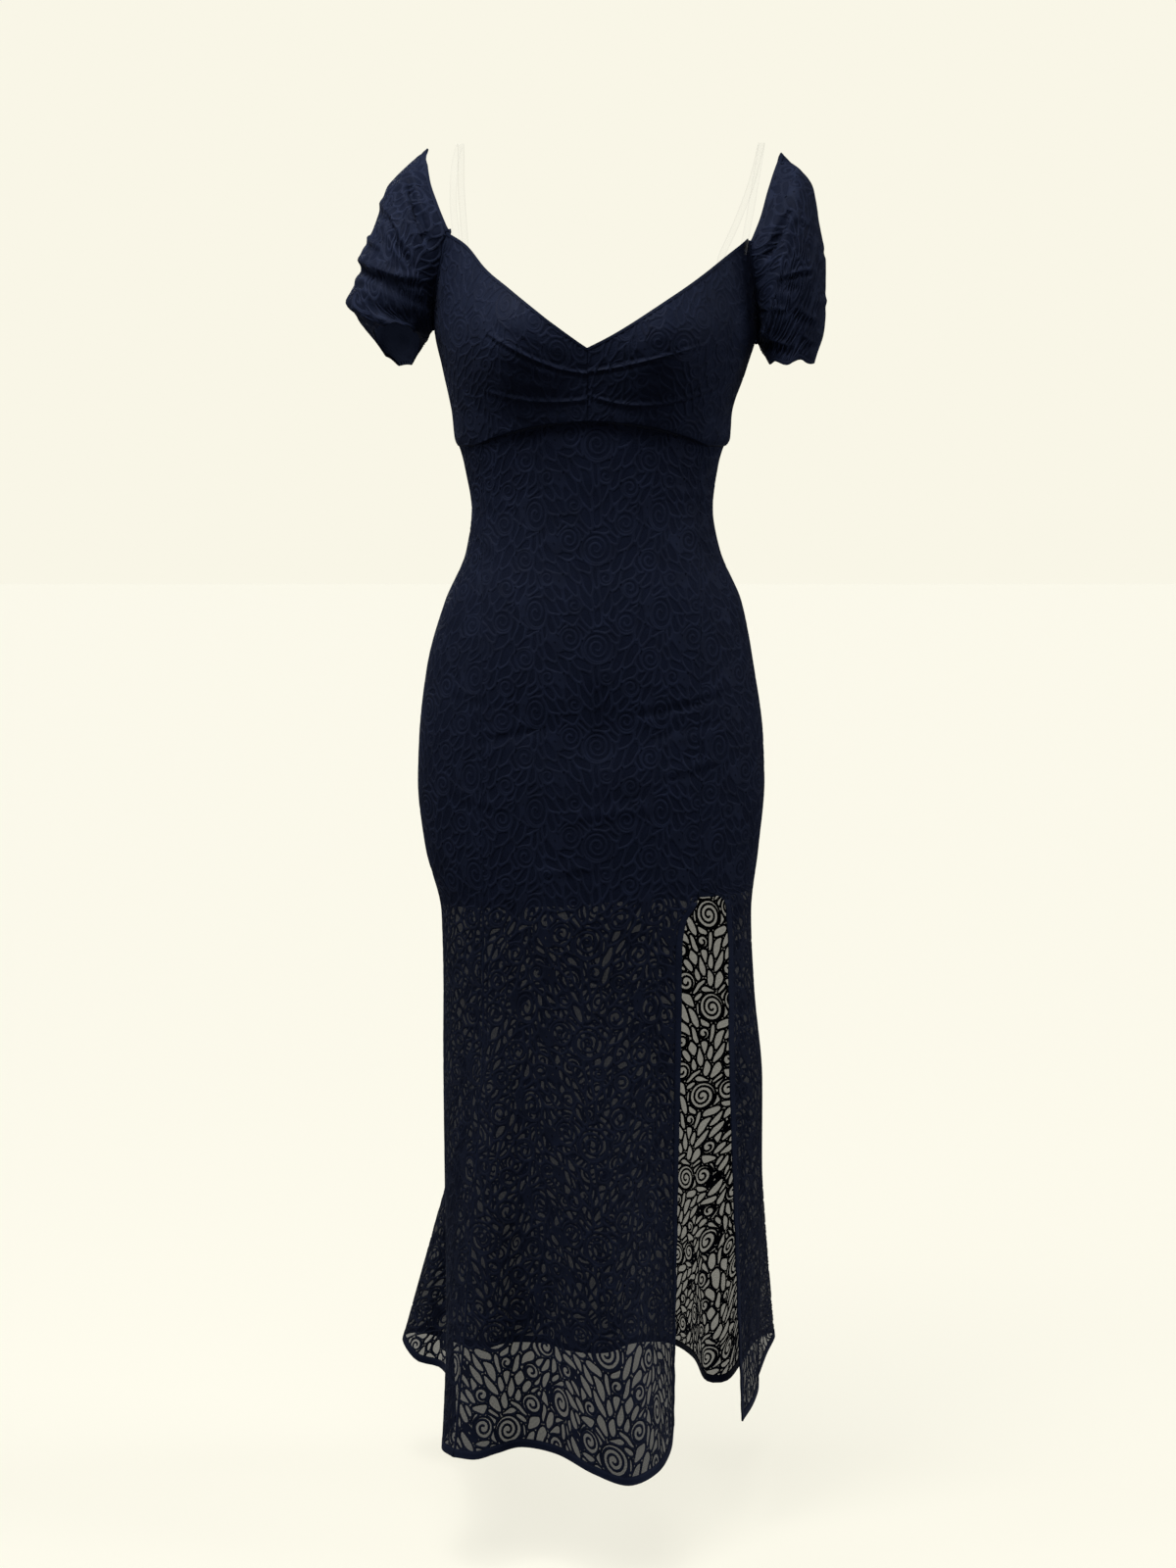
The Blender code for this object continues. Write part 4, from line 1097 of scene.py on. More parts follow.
def band(name, grid, norm, side, width, look, outer=0.25, inner=1.1, wave=0.0,
         stitch=0.35):
    """A turned edge: cloth folded over along one edge of a grid, with its stitched line."""
    shares = (1.0, 0.93, 0.86, 0.55, 0.3, 0.1, 0.02)
    lines, ns = edge_lines(grid, norm, side, [width * k for k in shares])
    edge = lines[-1] + (lines[-1] - lines[-2]) * 0.12
    along = np.linspace(0, 1, lines.shape[1])
    run = np.concatenate([[0], np.cumsum(np.linalg.norm(np.diff(lines[-1], axis=0), axis=1))])
    ripple = wave * (np.sin(run / 5.3) * np.sin(run / 17.0 + 1.0) + 0.5 * np.sin(run / 9.1 + 2.0))
    loop = []
    for k, share in enumerate(shares):
        lift = outer + (0.12 if share < 0.9 else 0.0) - (stitch if share == 0.93 else 0.0)
        loop.append(lines[k] + ns[k] * (lift + ripple * (1 - share))[:, None]
                    if wave else lines[k] + ns[k] * lift)
    loop.append(edge + ns[-1] * ((outer - inner) / 2 + (ripple[:, None] if wave else 0.0)))
    for k in range(len(shares) - 1, -1, -1):
        loop.append(lines[k] - ns[k] * (inner - (ripple * (1 - shares[k]))[:, None]
                                        if wave else inner))
    loop = np.array(loop)
    verts = loop.reshape(-1, 3)
    n, m = loop.shape[:2]
    faces = grid_faces(n, m)
    back = np.stack([np.arange(m - 1) + (n - 1) * m, np.arange(1, m) + (n - 1) * m,
                     np.arange(1, m), np.arange(m - 1)], axis=1)
    faces = np.concatenate([faces, back])
    a, b = np.arange(n) * m, np.arange(n) * m + m - 1
    obj = add_piece(name, verts, faces, look, uv=np.stack(
        [np.tile(run, n), np.repeat(np.arange(n) * 1.5, m)], axis=1))
    tidy(obj, ends=(list(a), list(b)))
    return obj


def tidy(obj, ends=()):
    """Closes the ends of a strip and points all its faces outwards."""
    import bmesh
    bm = bmesh.new()
    bm.from_mesh(obj.data)
    bm.verts.ensure_lookup_table()
    for ring in ends:
        try:
            bm.faces.new([bm.verts[int(i)] for i in ring])
        except ValueError:
            pass
    bmesh.ops.remove_doubles(bm, verts=bm.verts, dist=0.00001)
    bmesh.ops.dissolve_degenerate(bm, dist=0.00001, edges=bm.edges)
    bmesh.ops.recalc_face_normals(bm, faces=bm.faces)
    bm.to_mesh(obj.data)
    bm.free()
    obj.data.shade_smooth()


def tube(name, line, radius, look, sides=8, flatten=1.0, up=None, closed=False):
    """A round or flattened cord along a line."""
    line = np.asarray(line, float)
    d = np.gradient(line, axis=0)
    d /= np.maximum(np.linalg.norm(d, axis=1), 1e-9)[:, None]
    up = np.tile([0.0, 0.0, 1.0], (len(line), 1)) if up is None else np.asarray(up, float)
    a = np.cross(d, up)
    a /= np.maximum(np.linalg.norm(a, axis=1), 1e-9)[:, None]
    b = np.cross(a, d)
    r = np.broadcast_to(np.asarray(radius, float), (len(line),))[:, None]
    rings = []
    for k in range(sides):
        t = 2 * math.pi * k / sides
        rings.append(line + (a * math.cos(t) + b * math.sin(t) * flatten) * r)
    rings = np.array(rings).swapaxes(0, 1)
    verts = rings.reshape(-1, 3)
    m = len(line)
    faces = []
    for i in range(m - 1 + int(closed)):
        for k in range(sides):
            i2 = (i + 1) % m
            faces.append((i * sides + k, i * sides + (k + 1) % sides,
                          i2 * sides + (k + 1) % sides, i2 * sides + k))
    obj = add_piece(name, verts, faces, look)
    if not closed:
        tidy(obj, ends=(list(range(sides)), list(range((m - 1) * sides, m * sides))))
    return obj


# ---------------------------------------------------------------- looks: materials
def new_material(name, colour, rough, specular, sheen, sheen_rough=0.35,
                 sheen_tint=(0.62, 0.68, 0.9)):
    mat = bpy.data.materials.new(name)
    mat.use_nodes = True
    tree = mat.node_tree
    p = tree.nodes["Principled BSDF"]
    p.inputs["Base Color"].default_value = (*colour, 1.0)
    p.inputs["Roughness"].default_value = rough
    p.inputs["Specular IOR Level"].default_value = specular
    p.inputs["Sheen Weight"].default_value = sheen
    p.inputs["Sheen Roughness"].default_value = sheen_rough
    p.inputs["Sheen Tint"].default_value = (*sheen_tint, 1.0)
    return mat, tree, p


def link(tree, a, b):
    tree.links.new(a, b)


def node(tree, kind, **values):
    n = tree.nodes.new(kind)
    for key, value in values.items():
        if key.startswith("in_"):
            n.inputs[key[3:].replace("_", " ")].default_value = value
        else:
            setattr(n, key, value)
    return n


def mottle(tree, p, colour, spread, scale, unlined_shade=1.0):
    """Colour that drifts a little over the cloth, with painted shade below the lining's hem: darker there by
    the unlined factor.
    """
    where = node(tree, "ShaderNodeTexCoord")
    noise = node(tree, "ShaderNodeTexNoise", in_Scale=scale, in_Detail=3.0, in_Roughness=0.55)
    ramp = node(tree, "ShaderNodeValToRGB")
    ramp.color_ramp.elements[0].position = 0.3
    ramp.color_ramp.elements[1].position = 0.7
    ramp.color_ramp.elements[0].color = (*[c * (1 - spread) for c in colour], 1)
    ramp.color_ramp.elements[1].color = (*[c * (1 + spread) for c in colour], 1)
    link(tree, where.outputs["Object"], noise.inputs["Vector"])
    link(tree, noise.outputs["Fac"], ramp.inputs["Fac"])
    out = ramp.outputs["Color"]
    # painted shade: below the lining's hem (z -0.54 m to -0.58 m and down) the colour is scaled down by the
    # unlined factor
    if unlined_shade != 1.0:
        apart = node(tree, "ShaderNodeSeparateXYZ")
        fall = node(tree, "ShaderNodeMapRange")
        fall.inputs["From Min"].default_value = -0.58
        fall.inputs["From Max"].default_value = -0.54
        fall.inputs["To Min"].default_value = unlined_shade
        fall.inputs["To Max"].default_value = 1.0
        mul = node(tree, "ShaderNodeVectorMath", operation="SCALE")
        link(tree, where.outputs["Object"], apart.inputs["Vector"])
        link(tree, apart.outputs["Z"], fall.inputs["Value"])
        link(tree, out, mul.inputs[0])
        link(tree, fall.outputs["Result"], mul.inputs["Scale"])
        out = mul.outputs["Vector"]
    link(tree, out, p.inputs["Base Color"])
    return where, noise, ramp


def yarn_bump(tree, p, where, scale, strength, distance):
    noise = node(tree, "ShaderNodeTexNoise", in_Scale=scale, in_Detail=2.0, in_Roughness=0.6)
    bump = node(tree, "ShaderNodeBump", in_Strength=strength, in_Distance=distance)
    link(tree, where.outputs["Object"], noise.inputs["Vector"])
    link(tree, noise.outputs["Fac"], bump.inputs["Height"])
    link(tree, bump.outputs["Normal"], p.inputs["Normal"])
    return bump


def cord_material(name, colour):
    mat, tree, p = new_material(name, colour, 0.60, 0.05, 0.03, 0.4)
    # the last 0.72 is painted shade: the skirt's cords are darker below the lining's hem
    where, _, _ = mottle(tree, p, colour, 0.22, 55.0, 0.72)
    yarn_bump(tree, p, where, 1900.0, 0.5, 0.0004)
    return mat


def knit_material(name, colour, rough, specular, sheen, gauge, depth):
    """Fine knitted cloth: wales and courses in cloth coordinates."""
    mat, tree, p = new_material(name, colour, rough, specular, sheen)
    mottle(tree, p, colour, 0.15, 40.0)
    cloth_uv = node(tree, "ShaderNodeUVMap", uv_map="cloth")
    wale = node(tree, "ShaderNodeTexWave", bands_direction="X", in_Scale=gauge / 20.0,
                in_Distortion=0.6, in_Detail=1.0)
    course = node(tree, "ShaderNodeTexWave", bands_direction="Y", in_Scale=gauge / 20.0 * 1.3,
                  in_Distortion=0.6, in_Detail=1.0)
    both = node(tree, "ShaderNodeMath", operation="MULTIPLY")
    bump = node(tree, "ShaderNodeBump", in_Strength=0.5, in_Distance=depth)
    link(tree, cloth_uv.outputs["UV"], wale.inputs["Vector"])
    link(tree, cloth_uv.outputs["UV"], course.inputs["Vector"])
    link(tree, wale.outputs["Fac"], both.inputs[0])
    link(tree, course.outputs["Fac"], both.inputs[1])
    link(tree, both.outputs["Value"], bump.inputs["Height"])
    link(tree, bump.outputs["Normal"], p.inputs["Normal"])
    return mat


def net_material(name, cover):
    """Fine stretch net: threads round small cells, with a haze of finer yarn between."""
    colour = (0.0068, 0.0096, 0.0218)
    mat, tree, p = new_material(name, colour, 0.65, 0.04, 0.02)
    # the last 0.72 is painted shade: the net is darker below the lining's hem
    mottle(tree, p, colour, 0.15, 40.0, 0.72)
    cloth_uv = node(tree, "ShaderNodeUVMap", uv_map="cloth")
    cells = node(tree, "ShaderNodeTexVoronoi", feature="DISTANCE_TO_EDGE", in_Scale=760.0,
                 in_Randomness=0.35)
    ramp = node(tree, "ShaderNodeMapRange")
    ramp.inputs["From Min"].default_value = 0.05
    ramp.inputs["From Max"].default_value = 0.13
    ramp.inputs["To Min"].default_value = 0.98
    ramp.inputs["To Max"].default_value = cover
    link(tree, cloth_uv.outputs["UV"], cells.inputs["Vector"])
    link(tree, cells.outputs["Distance"], ramp.inputs["Value"])
    link(tree, ramp.outputs["Result"], p.inputs["Alpha"])
    return mat


def clear_material():
    """Clear plastic film: nearly all gone face on, and a little milky at its edges."""
    mat, tree, p = new_material("clear_plastic", (0.30, 0.30, 0.28), 0.18, 0.2, 0.0)
    cloth_uv = node(tree, "ShaderNodeUVMap", uv_map="cloth")
    apart = node(tree, "ShaderNodeSeparateXYZ")
    off = node(tree, "ShaderNodeMath", operation="ABSOLUTE")
    ramp = node(tree, "ShaderNodeMapRange")
    ramp.inputs["From Min"].default_value = STRAP_WIDTH * 0.0005 * 0.55
    ramp.inputs["From Max"].default_value = STRAP_WIDTH * 0.0005 * 0.98
    ramp.inputs["To Min"].default_value = 0.02
    ramp.inputs["To Max"].default_value = 0.08
    link(tree, cloth_uv.outputs["UV"], apart.inputs["Vector"])
    link(tree, apart.outputs["X"], off.inputs[0])
    link(tree, off.outputs["Value"], ramp.inputs["Value"])
    link(tree, ramp.outputs["Result"], p.inputs["Alpha"])
    return mat


CORD = cord_material("lace_cord", (0.0080, 0.0112, 0.0249))
# painted light: the bodice cords are a lighter copy of lace_cord, standing in for the stronger light on the
# bodice
TOP_CORD_PAINTED_LIGHT = cord_material("bodice_cord_painted_light", (0.0090, 0.0124, 0.0267))
NET = net_material("lace_net", 0.85)
NET_BACK = net_material("lace_net_back", 0.72)
# painted light: the sleeve cords are a lighter copy of lace_cord, standing in for the light on the sleeves
SLEEVE_CORD_PAINTED_LIGHT = cord_material("sleeve_cord_painted_light", (0.0108, 0.0148, 0.0313))
SLEEVE_GROUND = knit_material("sleeve_ground", (0.0066, 0.0093, 0.0206), 0.62, 0.04, 0.03, 900.0, 0.0003)
INSIDE = knit_material("wrong_side", (0.011, 0.015, 0.028), 0.70, 0.03, 0.0, 1300.0, 0.0002)
# painted light: the left sleeve's wrong side is a much lighter copy of wrong_side, standing in for light inside
# the left sleeve
INSIDE_PAINTED_LIGHT = knit_material("wrong_side_left_painted_light", (0.050, 0.064, 0.112), 0.70, 0.03, 0.0, 1300.0, 0.0002)
BACKED = knit_material("lace_backed", (0.0082, 0.0114, 0.0246), 0.62, 0.04, 0.03, 900.0, 0.0003)
BAND = knit_material("turned_edge", (0.0068, 0.0098, 0.0220), 0.60, 0.05, 0.03, 900.0, 0.0003)
TOP_BAND = knit_material("bodice_edge", (0.0080, 0.0112, 0.0246), 0.60, 0.05, 0.03, 900.0, 0.0003)
LINING = knit_material("lining_knit", (0.0068, 0.0096, 0.0218), 0.55, 0.04, 0.02, 1300.0, 0.0002)
CLEAR = clear_material()

# ---------------------------------------------------------------- looks: skirt
FINE_ROWS = list(np.linspace(BODY_TOP, -128.0, 7)) + list(np.linspace(-132.5, -604.0, 104)) \
    + list(np.linspace(-610.0, HEM, 82))
FINE_COLUMNS = {"front_panel": 96, "side_front_left": 30, "side_front_right": 30,
                "back_panel": 124}
LACE_SHIFT = {"front_panel": (6.0, -20.0), "side_front_left": (-18.0, 22.0),
              "side_front_right": (24.0, -46.0), "back_panel": (0.0, -6.0)}
SKIRT = {}
for panel, count in FINE_COLUMNS.items():
    grid = skirt_grid(panel, count, FINE_ROWS)
    SKIRT[panel] = shaped(grid, front=BODY_CREASES, back=BACK_CREASES)

for panel, (grid, norm) in SKIRT.items():
    ground(panel + "_net", grid, norm, NET_BACK if panel == "back_panel" else NET)
    shift = LACE_SHIFT[panel]
    if panel == "back_panel":
        lace("back_panel_lace_upper", grid, norm, CORD, shift, rows_kept=(-1.0, 470.0))
        lace("back_panel_lace_lower", grid, norm, CORD, shift, rows_kept=(470.0, 2000.0))
    else:
        lace(panel + "_lace", grid, norm, CORD, shift)
    band(panel + "_hem", grid, norm, "bottom", 8.5, BAND)

low = [i for i, z in enumerate(FINE_ROWS) if z <= -551.0]
grid, norm = (a[low[0]:] for a in SKIRT["front_panel"])
band("slit_edge_front", grid, norm, "right", 7.0, BAND, wave=0.5)
grid, norm = (a[low[0]:] for a in SKIRT["side_front_right"])
band("slit_edge_side", grid, norm, "left", 7.0, BAND, wave=0.5)


def lining_cloth(start, end, columns):
    """The lining from the empire seam to its tilted hem."""
    shares = np.linspace(0, 1, columns + 1)
    zs = np.arange(BODY_TOP, -582.0, -4.0)
    body = []
    for z in zs:
        x, y, _ = along(z, math.radians(start), math.radians(end), shares, LINING_INSET)
        body.append(np.stack([x, y], axis=1))
    body = np.array(body)
    hem = LINING_HEM - LINING_TILT * np.clip(-body[-6, :, 0] / 150.0, -0.4, 1.0)
    grid = []
    for v in np.linspace(0, 1, 118):
        z = BODY_TOP + (hem - BODY_TOP) * v
        x = [np.interp(-z[c], -zs, body[:, c, 0]) for c in range(columns + 1)]
        y = [np.interp(-z[c], -zs, body[:, c, 1]) for c in range(columns + 1)]
        x, y = np.array(x), np.array(y)
        reach = np.clip(1 - (BODY_TOP - z) / 120.0, 0, 1) ** 2
        arch = empire(x if start < 0 else np.full(columns + 1, 140.0))
        grid.append(np.stack([x, y, z + (arch - 0.8 - BODY_TOP) * reach], axis=1))
    return shaped(np.array(grid), front=BODY_CREASES, back=BACK_CREASES)


for name, start, end in (("lining_front", -90.0, 90.0), ("lining_back", 90.0, 270.0)):
    grid, norm = lining_cloth(start, end, 90)
    ground(name + "_cloth", grid, norm, LINING, depth=0.0)
    band(name + "_hem", grid, norm, "bottom", 11.0, LINING, outer=0.3, inner=0.9)
    SKIRT[name] = (grid, norm)

# ---------------------------------------------------------------- looks: bodice
BODICE, BASE = {}, {}
CORNER_LIFT = {"left": (92.0, 132.0, 1.5), "right": (112.0, 158.0, 1.5)}   # from x, to x, by


def cup_base(side):
    """A cup, with the end of its neckline drawn up to the sleeve."""
    grid = refine(cup_grid(side, 34, 34), 112, 108)
    begin, end, by = CORNER_LIFT[side]
    t = np.clip((np.abs(grid[:, :, 0]) - begin) / (end - begin), 0, 1)
    up = np.clip((np.linspace(0, 1, 112)[:, None] - 0.72) / 0.28, 0, 1)
    grid[:, :, 2] += by * t * t * (3 - 2 * t) * up * up
    return grid


for side in ("left", "right"):
    BASE["cup_" + side] = cup_base(side)
    BODICE["cup_" + side] = shaped(BASE["cup_" + side], front=CUP_CREASES["cup_" + side])
BASE["back_bodice"] = refine(back_grid(46, 24), 60, 150)
BASE["back_bodice"][:, :, 2] = np.minimum(BASE["back_bodice"][:, :, 2], 91.0)
BODICE["back_bodice"] = shaped(BASE["back_bodice"], back=BACK_CREASES)
LACE_SHIFT.update({"cup_left": (34.0, 40.0), "cup_right": (-20.0, 40.0),
                   "back_bodice": (0.0, 60.0)})
for name, (grid, norm) in BODICE.items():
    ground(name + "_cloth", grid, norm, BACKED, centre=0.0 if name != "back_bodice" else 0.5)
    lace(name + "_lace", grid[::-1], norm[::-1], TOP_CORD_PAINTED_LIGHT, LACE_SHIFT[name],
         centre=0.0 if name != "back_bodice" else 0.5, high=0.62, flat=BASE[name][::-1],
         true_down=name != "back_bodice")
    inside(name + "_inside", BASE[name], INSIDE, CUP_CREASES.get(name, ()),
           BACK_CREASES if name == "back_bodice" else ())
    band(name + "_edge", grid, norm, "bottom", 3.5, TOP_BAND, outer=0.08, inner=1.2, stitch=0.1)

# ---------------------------------------------------------------- looks: sleeves
SLEEVE_SHIFT = {"left": (10.0, 18.0), "right": (-30.0, 30.0)}


# How far the edge over the shoulder moves out behind, by height, so that the front hides it
BEHIND = {"left": ((92.0, 104.0, 120.0, 135.0, 149.0, 164.0, 182.0, 190.0),
                   (0.0, -8.0, -11.5, -9.5, -7.5, -6.0, -4.0, 0.0)),
          "right": ((88.0, 95.0, 106.0, 123.0, 138.0, 155.0, 175.0, 186.0),
                    (0.0, 8.0, 19.0, 17.0, 14.0, 11.0, 7.0, 0.0))}
AHEAD = {"left": 4.5, "right": 0.0}


def sleeve_base(side):
    rings = sleeve_grid(side, 64)
    rings = np.roll(rings, -32, axis=1)
    rings = np.concatenate([rings, rings[:, :1]], axis=1)
    grid = refine(rings, 112, 170)
    down = np.linspace(0, 1, 112)[:, None]
    turn = np.linspace(0, 2 * math.pi, 170)[None, :]
    low = np.clip((down - 0.82) / 0.18, 0, 1) ** 1.5
    front = np.clip(0.5 - grid[:, :, 1] / 30.0, 0, 1)
    if side == "left":
        drop = 2.6 * np.abs(np.sin(turn * 5.5 + 0.6)) + 1.6 * np.sin(turn * 3 + 1.0) - 1.2
        drop = drop - 7.0 * front * np.exp(-((grid[:, :, 0] + 208.0) / 17.0) ** 2)
    else:
        drop = (-4.0 - 6.0 * np.abs(np.cos(math.pi * (grid[:, :, 0] - 194.0) / 23.5)) ** 1.4
                - 0.08 * (200.0 - grid[:, :, 0])) \
            * front + (4.0 + 1.5 * np.sin(turn * 7)) * (1 - front)
    grid[:, :, 2] += drop * low
    grid[:, :, 1] -= (11.0 if side == "left" else 7.0) * front * np.clip((down - 0.66) / 0.34, 0, 1) ** 1.4
    top = np.clip(1 - down / 0.30, 0, 1) ** 1.4
    z = grid[:, :, 2]
    behind = np.interp(z, *BEHIND[side]) * np.clip(grid[:, :, 1] / 12.0, 0, 1)
    ahead = AHEAD[side] * np.clip(-grid[:, :, 1] / 12.0, 0, 1) \
        * np.clip((z - 96.0) / 12.0, 0, 1) * np.clip((192.0 - z) / 16.0, 0, 1)
    grid[:, :, 0] += (behind + ahead) * top
    return grid


SLEEVE = {}
for side in ("left", "right"):
    base = sleeve_base(side)
    middle = -198.0 if side == "left" else 202.0
    grid, norm = shaped(base, SLEEVE_CREASES[side], SLEEVE_BACK_CREASES[side], middle, 0.5)
    SLEEVE[side] = (grid, norm)
    name = "sleeve_" + side
    ground(name + "_cloth", grid, norm, SLEEVE_GROUND)
    # the left sleeve's wrong side gets the lighter copy with painted light, the right one the plain wrong side
    inside(name + "_inside", base, INSIDE_PAINTED_LIGHT if side == "left" else INSIDE,
           SLEEVE_CREASES[side], SLEEVE_BACK_CREASES[side], middle, 0.5)
    lace(name + "_lace", grid, norm, SLEEVE_CORD_PAINTED_LIGHT, SLEEVE_SHIFT[side], high=0.85, flat=base,
         true_down=True)
    band(name + "_hem", grid, norm, "bottom", 4.0, TOP_BAND, outer=0.15, inner=1.25, stitch=0.2)
    over = slice(43, 128)
    band(name + "_edge", grid[:, over], norm[:, over], "top", 4.0, TOP_BAND, outer=0.15, inner=1.25, stitch=0.2)


# ---------------------------------------------------------------- looks: seams
def sunk(line, norm, depth):
    return line - norm * depth


def seam(name, line, norm, radius=1.5, depth=1.0):
    tube(name, sunk(line, norm, depth), radius, BAND, sides=8, flatten=0.45, up=norm)


cup_l, cup_r, back_b = (BODICE[n] for n in ("cup_left", "cup_right", "back_bodice"))
seam("seam_centre_front", cup_r[0][:, 0], cup_r[1][:, 0], 1.1, 1.3)
front, f_norm = SKIRT["front_panel"]
seam("seam_princess_left", front[:, 0], f_norm[:, 0])
top_rows = [i for i, z in enumerate(FINE_ROWS) if z >= -556.0]
seam("seam_princess_right", front[:top_rows[-1], -1], f_norm[:top_rows[-1], -1])
for panel, at, name in (("side_front_left", 0, "seam_side_left"),
                        ("side_front_right", -1, "seam_side_right")):
    g, n = SKIRT[panel]
    seam(name, g[:, at], n[:, at], 1.8)
for cup, column_at, name in ((cup_l, -1, "left"), (cup_r, -1, "right")):
    g, n = cup
    rows = [i for i in range(len(g)) if g[i, -1, 2] < UNDERARM[name] + 1]
    seam("seam_bodice_side_" + name, g[:rows[-1] + 1, -1], n[:rows[-1] + 1, -1], 1.6)
for side in ("left", "right"):
    g, n = SLEEVE[side]
    lower = np.concatenate([g[0, 126:-1], g[0, :45]])
    lower_n = np.concatenate([n[0, 126:-1], n[0, :45]])
    lower = lower + np.stack([np.full(len(lower), 0.9 if side == "left" else -0.9),
                              -1.3 * np.clip(lower[:, 1] / 10.0, -1, 1),
                              np.zeros(len(lower))], axis=1)
    tube("seam_armhole_" + side, lower, 1.8, BAND, sides=8, up=lower_n)


def even(line, count):
    run = np.concatenate([[0], np.cumsum(np.linalg.norm(np.diff(line, axis=0), axis=1))])
    at = np.linspace(0, run[-1], count)
    return np.stack([np.interp(at, run, line[:, k]) for k in range(3)], axis=1)


def empire_seam():
    upper = np.concatenate([
        even(np.concatenate([cup_l[0][0][::-1], cup_r[0][0][1:]]), 160)[:-1],
        even(back_b[0][0], 160)[:-1]])
    lower = np.concatenate([
        even(np.concatenate([SKIRT[p][0][0] for p in
                             ("side_front_left", "front_panel", "side_front_right")]), 160)[:-1],
        even(SKIRT["back_panel"][0][0], 160)[:-1]])
    middle = np.array([0.0, 5.0, 0.0])
    def inward(line, by):
        d = line - middle
        d[:, 2] = 0
        return line - d / np.linalg.norm(d, axis=1)[:, None] * by
    ring = [inward(upper, -0.2), inward(lower, -0.2), inward(lower, 2.2), inward(upper, 2.4)]
    ring[0][:, 2] += 0.5
    ring[1][:, 2] -= 0.5
    ring[2][:, 2] -= 3.0
    ring[3][:, 2] += 3.0
    ring = np.array(ring)
    m = ring.shape[1]
    verts = ring.swapaxes(0, 1).reshape(-1, 3)
    faces = []
    for i in range(m):
        for k in range(4):
            j = (i + 1) % m
            faces.append((i * 4 + k, i * 4 + (k + 1) % 4, j * 4 + (k + 1) % 4, j * 4 + k))
    obj = add_piece("seam_empire", verts, faces, BAND)
    tidy(obj)


empire_seam()


# ---------------------------------------------------------------- looks: clear straps
def strap(side):
    t = np.linspace(0, 1, 90)
    route = spline(STRAPS[side], t)
    route[:, 1] += 15.0 * np.clip((0.26 - t) / 0.18, 0, 1) ** 1.5   # its end is sewn behind
    d = np.gradient(route, axis=0)
    d /= np.linalg.norm(d, axis=1)[:, None]
    out = np.cross(d, np.array([1.0, 0.0, 0.0]))
    across = np.cross(out, d)
    across /= np.linalg.norm(across, axis=1)[:, None]
    out = np.cross(d, across)
    out /= np.linalg.norm(out, axis=1)[:, None]
    half, thick = STRAP_WIDTH / 2, 0.3
    section_points = []
    for k in range(16):
        t = 2 * math.pi * k / 16
        c, s = math.cos(t), math.sin(t)
        section_points.append((half * math.copysign(abs(c) ** 0.45, c),
                               thick * math.copysign(abs(s) ** 0.7, s)))
    verts = np.array([route + across * a + out * b for a, b in section_points]).swapaxes(0, 1)
    m = len(route)
    verts = verts.reshape(-1, 3)
    run = np.concatenate([[0], np.cumsum(np.linalg.norm(np.diff(route, axis=0), axis=1))])
    uv = np.stack([np.tile([a for a, _ in section_points], m), np.repeat(run, 16)], axis=1)
    faces = []
    for i in range(m - 1):
        for k in range(16):
            faces.append((i * 16 + k, i * 16 + (k + 1) % 16,
                          (i + 1) * 16 + (k + 1) % 16, (i + 1) * 16 + k))
    obj = add_piece("strap_" + side + "_band", verts, faces, CLEAR, uv=uv)
    tidy(obj, ends=(list(range(16)), list(range((m - 1) * 16, m * 16))))
    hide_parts("strap_" + side)


for side in ("left", "right"):
    strap(side)

# ---------------------------------------------------------------- looks: CAD parts that the looks' pieces replace, hidden
REPLACED = {"front_panel": "front_panel_net", "side_front_left": "side_front_left_net",
            "side_front_right": "side_front_right_net", "back_panel": "back_panel_net",
            "lining_front": "lining_front_cloth", "lining_back": "lining_back_cloth",
            "cup_left": "cup_left_cloth", "cup_right": "cup_right_cloth",
            "back_bodice": "back_bodice_cloth", "sleeve_left": "sleeve_left_cloth",
            "sleeve_right": "sleeve_right_cloth"}
for cad_node, piece in REPLACED.items():
    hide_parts(cad_node)

# ---------------------------------------------------------------- stage, light, camera
FLOOR_Z = -1.21
CREAM = (0.947, 0.922, 0.799)
FLOOR_ALBEDO, FLOOR_GLOW = 0.30, 0.80     # the floor is as light as what is behind it


def floor():
    mesh = bpy.data.meshes.new("floor")
    mesh.from_pydata([(-40, -40, FLOOR_Z), (40, -40, FLOOR_Z), (40, 40, FLOOR_Z),
                      (-40, 40, FLOOR_Z)], [], [(0, 1, 2, 3)])
    obj = bpy.data.objects.new("floor", mesh)
    bpy.context.scene.collection.objects.link(obj)
    mat = bpy.data.materials.new("floor")
    mat.use_nodes = True
    p = mat.node_tree.nodes["Principled BSDF"]
    p.inputs["Base Color"].default_value = (*[c * FLOOR_ALBEDO for c in CREAM], 1)
    p.inputs["Emission Color"].default_value = (*CREAM, 1)
    p.inputs["Emission Strength"].default_value = FLOOR_GLOW
    p.inputs["Roughness"].default_value = 0.9
    p.inputs["Specular IOR Level"].default_value = 0.0
    mesh.materials.append(mat)
    obj.visible_diffuse = False
    obj.visible_glossy = False


floor()

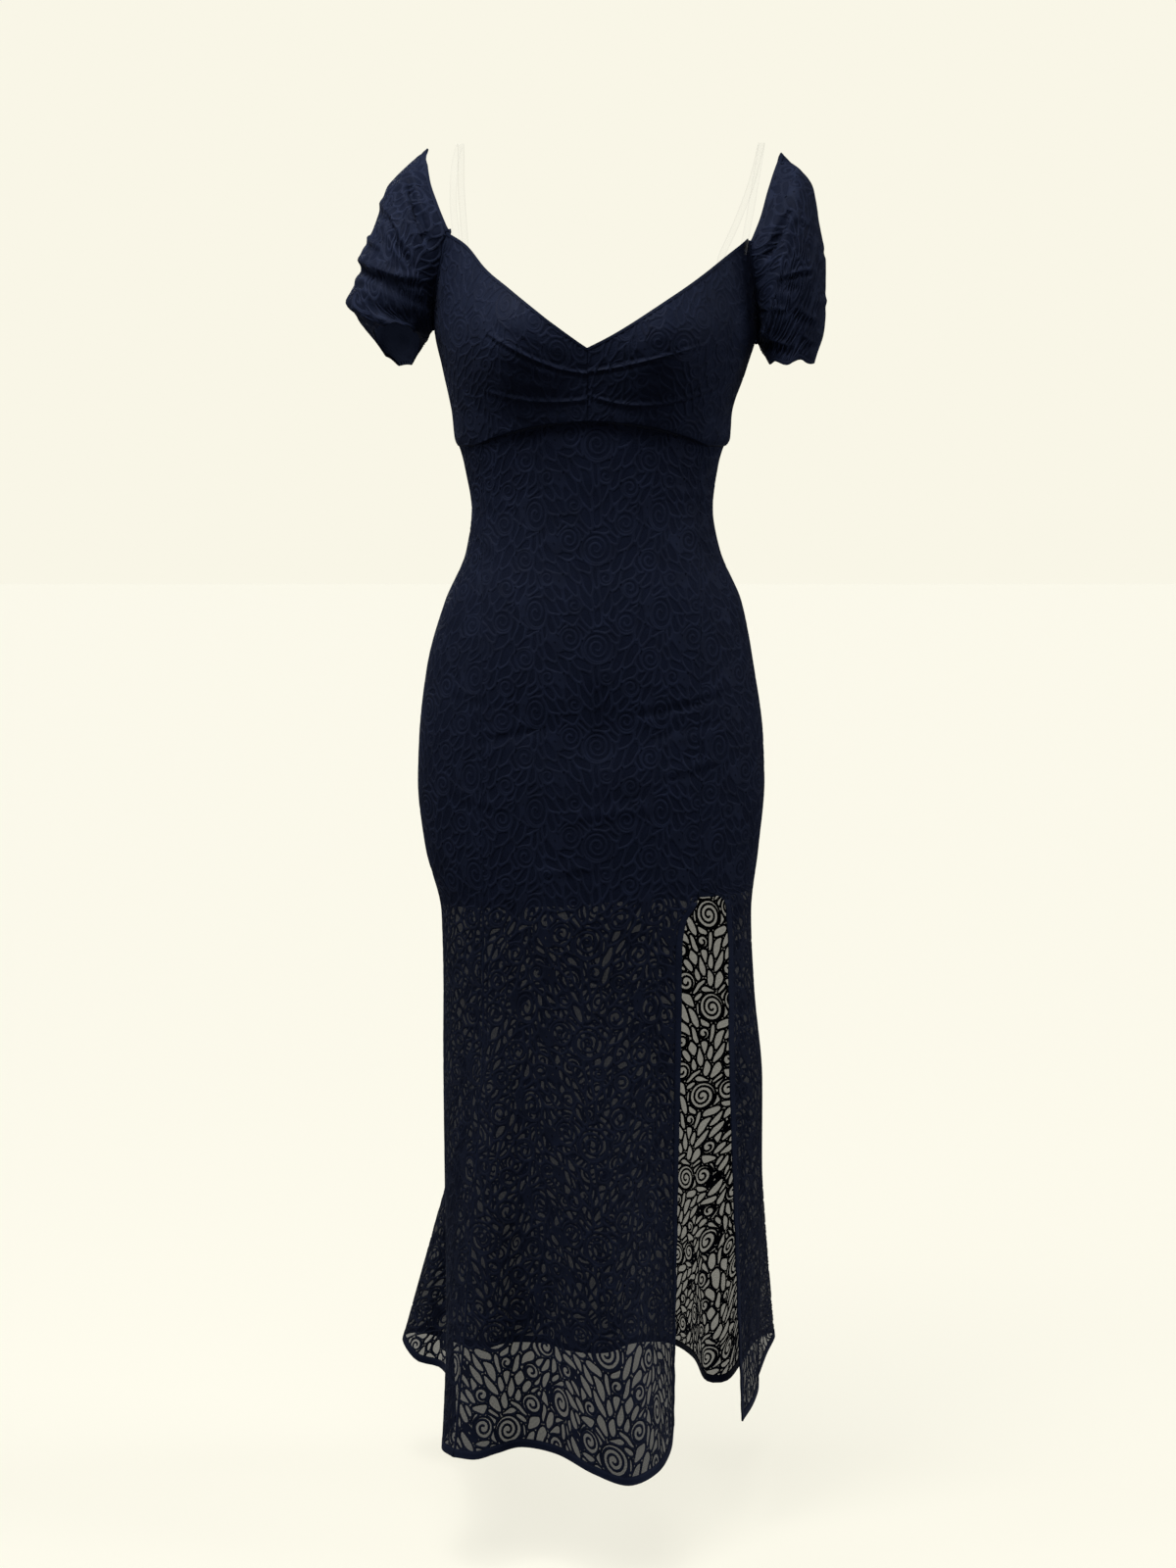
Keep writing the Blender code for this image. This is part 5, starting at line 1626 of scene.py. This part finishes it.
scene = bpy.context.scene
world = bpy.data.worlds.new("studio")
scene.world = world
world.use_nodes = True
tree = world.node_tree
tree.nodes.clear()
seen = node(tree, "ShaderNodeBackground", in_Color=(*CREAM, 1), in_Strength=1.0)
dim = node(tree, "ShaderNodeBackground", in_Color=(0.92, 0.94, 1.0, 1), in_Strength=0.16)
path = node(tree, "ShaderNodeLightPath")
mix = node(tree, "ShaderNodeMixShader")
end = node(tree, "ShaderNodeOutputWorld")
link(tree, path.outputs["Is Camera Ray"], mix.inputs["Fac"])
link(tree, dim.outputs["Background"], mix.inputs[1])
link(tree, seen.outputs["Background"], mix.inputs[2])
link(tree, mix.outputs["Shader"], end.inputs["Surface"])


def sun(name, towards, strength, angle, colour=(1, 1, 1)):
    data = bpy.data.lights.new(name, "SUN")
    data.energy = strength
    data.angle = math.radians(angle)
    data.color = colour
    obj = bpy.data.objects.new(name, data)
    obj.rotation_mode = "QUATERNION"
    obj.rotation_quaternion = Vector(towards).to_track_quat("-Z", "Y")
    scene.collection.objects.link(obj)


def panel_light(name, place, towards, size, watts, colour=(1, 1, 1)):
    data = bpy.data.lights.new(name, "AREA")
    data.shape = "RECTANGLE"
    data.size, data.size_y = size
    data.energy = watts
    data.color = colour
    obj = bpy.data.objects.new(name, data)
    obj.location = place
    obj.rotation_mode = "QUATERNION"
    obj.rotation_quaternion = (Vector(towards) - Vector(place)).to_track_quat("-Z", "Y")
    obj.visible_camera = False
    scene.collection.objects.link(obj)


sun("key_light", (0.16, 0.43, -1.0), 1.1, 34.0)
panel_light("soft_box", (-0.30, -0.46, 0.64), (-0.02, -0.08, 0.02), (0.40, 0.40), 6.2)
sun("low_light", (0.05, 0.8, 0.5), 0.30, 40.0)
sun("left_light", (1.0, 0.10, -0.45), 0.75, 30.0, (0.88, 0.92, 1.0))
sun("back_light", (0.25, -0.9, -0.35), 0.55, 30.0, (0.92, 0.95, 1.0))
sun("right_light", (-1.0, 0.15, -0.40), 1.25, 30.0, (0.88, 0.92, 1.0))

camera_data = bpy.data.cameras.new("camera")
camera_data.sensor_fit = "AUTO"
camera_data.sensor_width = 36.0
camera_data.lens = 36.0 * 3119.0 / 1600.0
camera = bpy.data.objects.new("camera", camera_data)
camera.location = (-0.003, -3.10, -0.165)
camera.rotation_euler = (math.radians(90.0 - 5.13), 0.0, 0.0)
scene.collection.objects.link(camera)
scene.camera = camera

scene.view_settings.view_transform = "Standard"
scene.view_settings.look = "None"
scene.cycles.max_bounces = 8
scene.cycles.transparent_max_bounces = 24
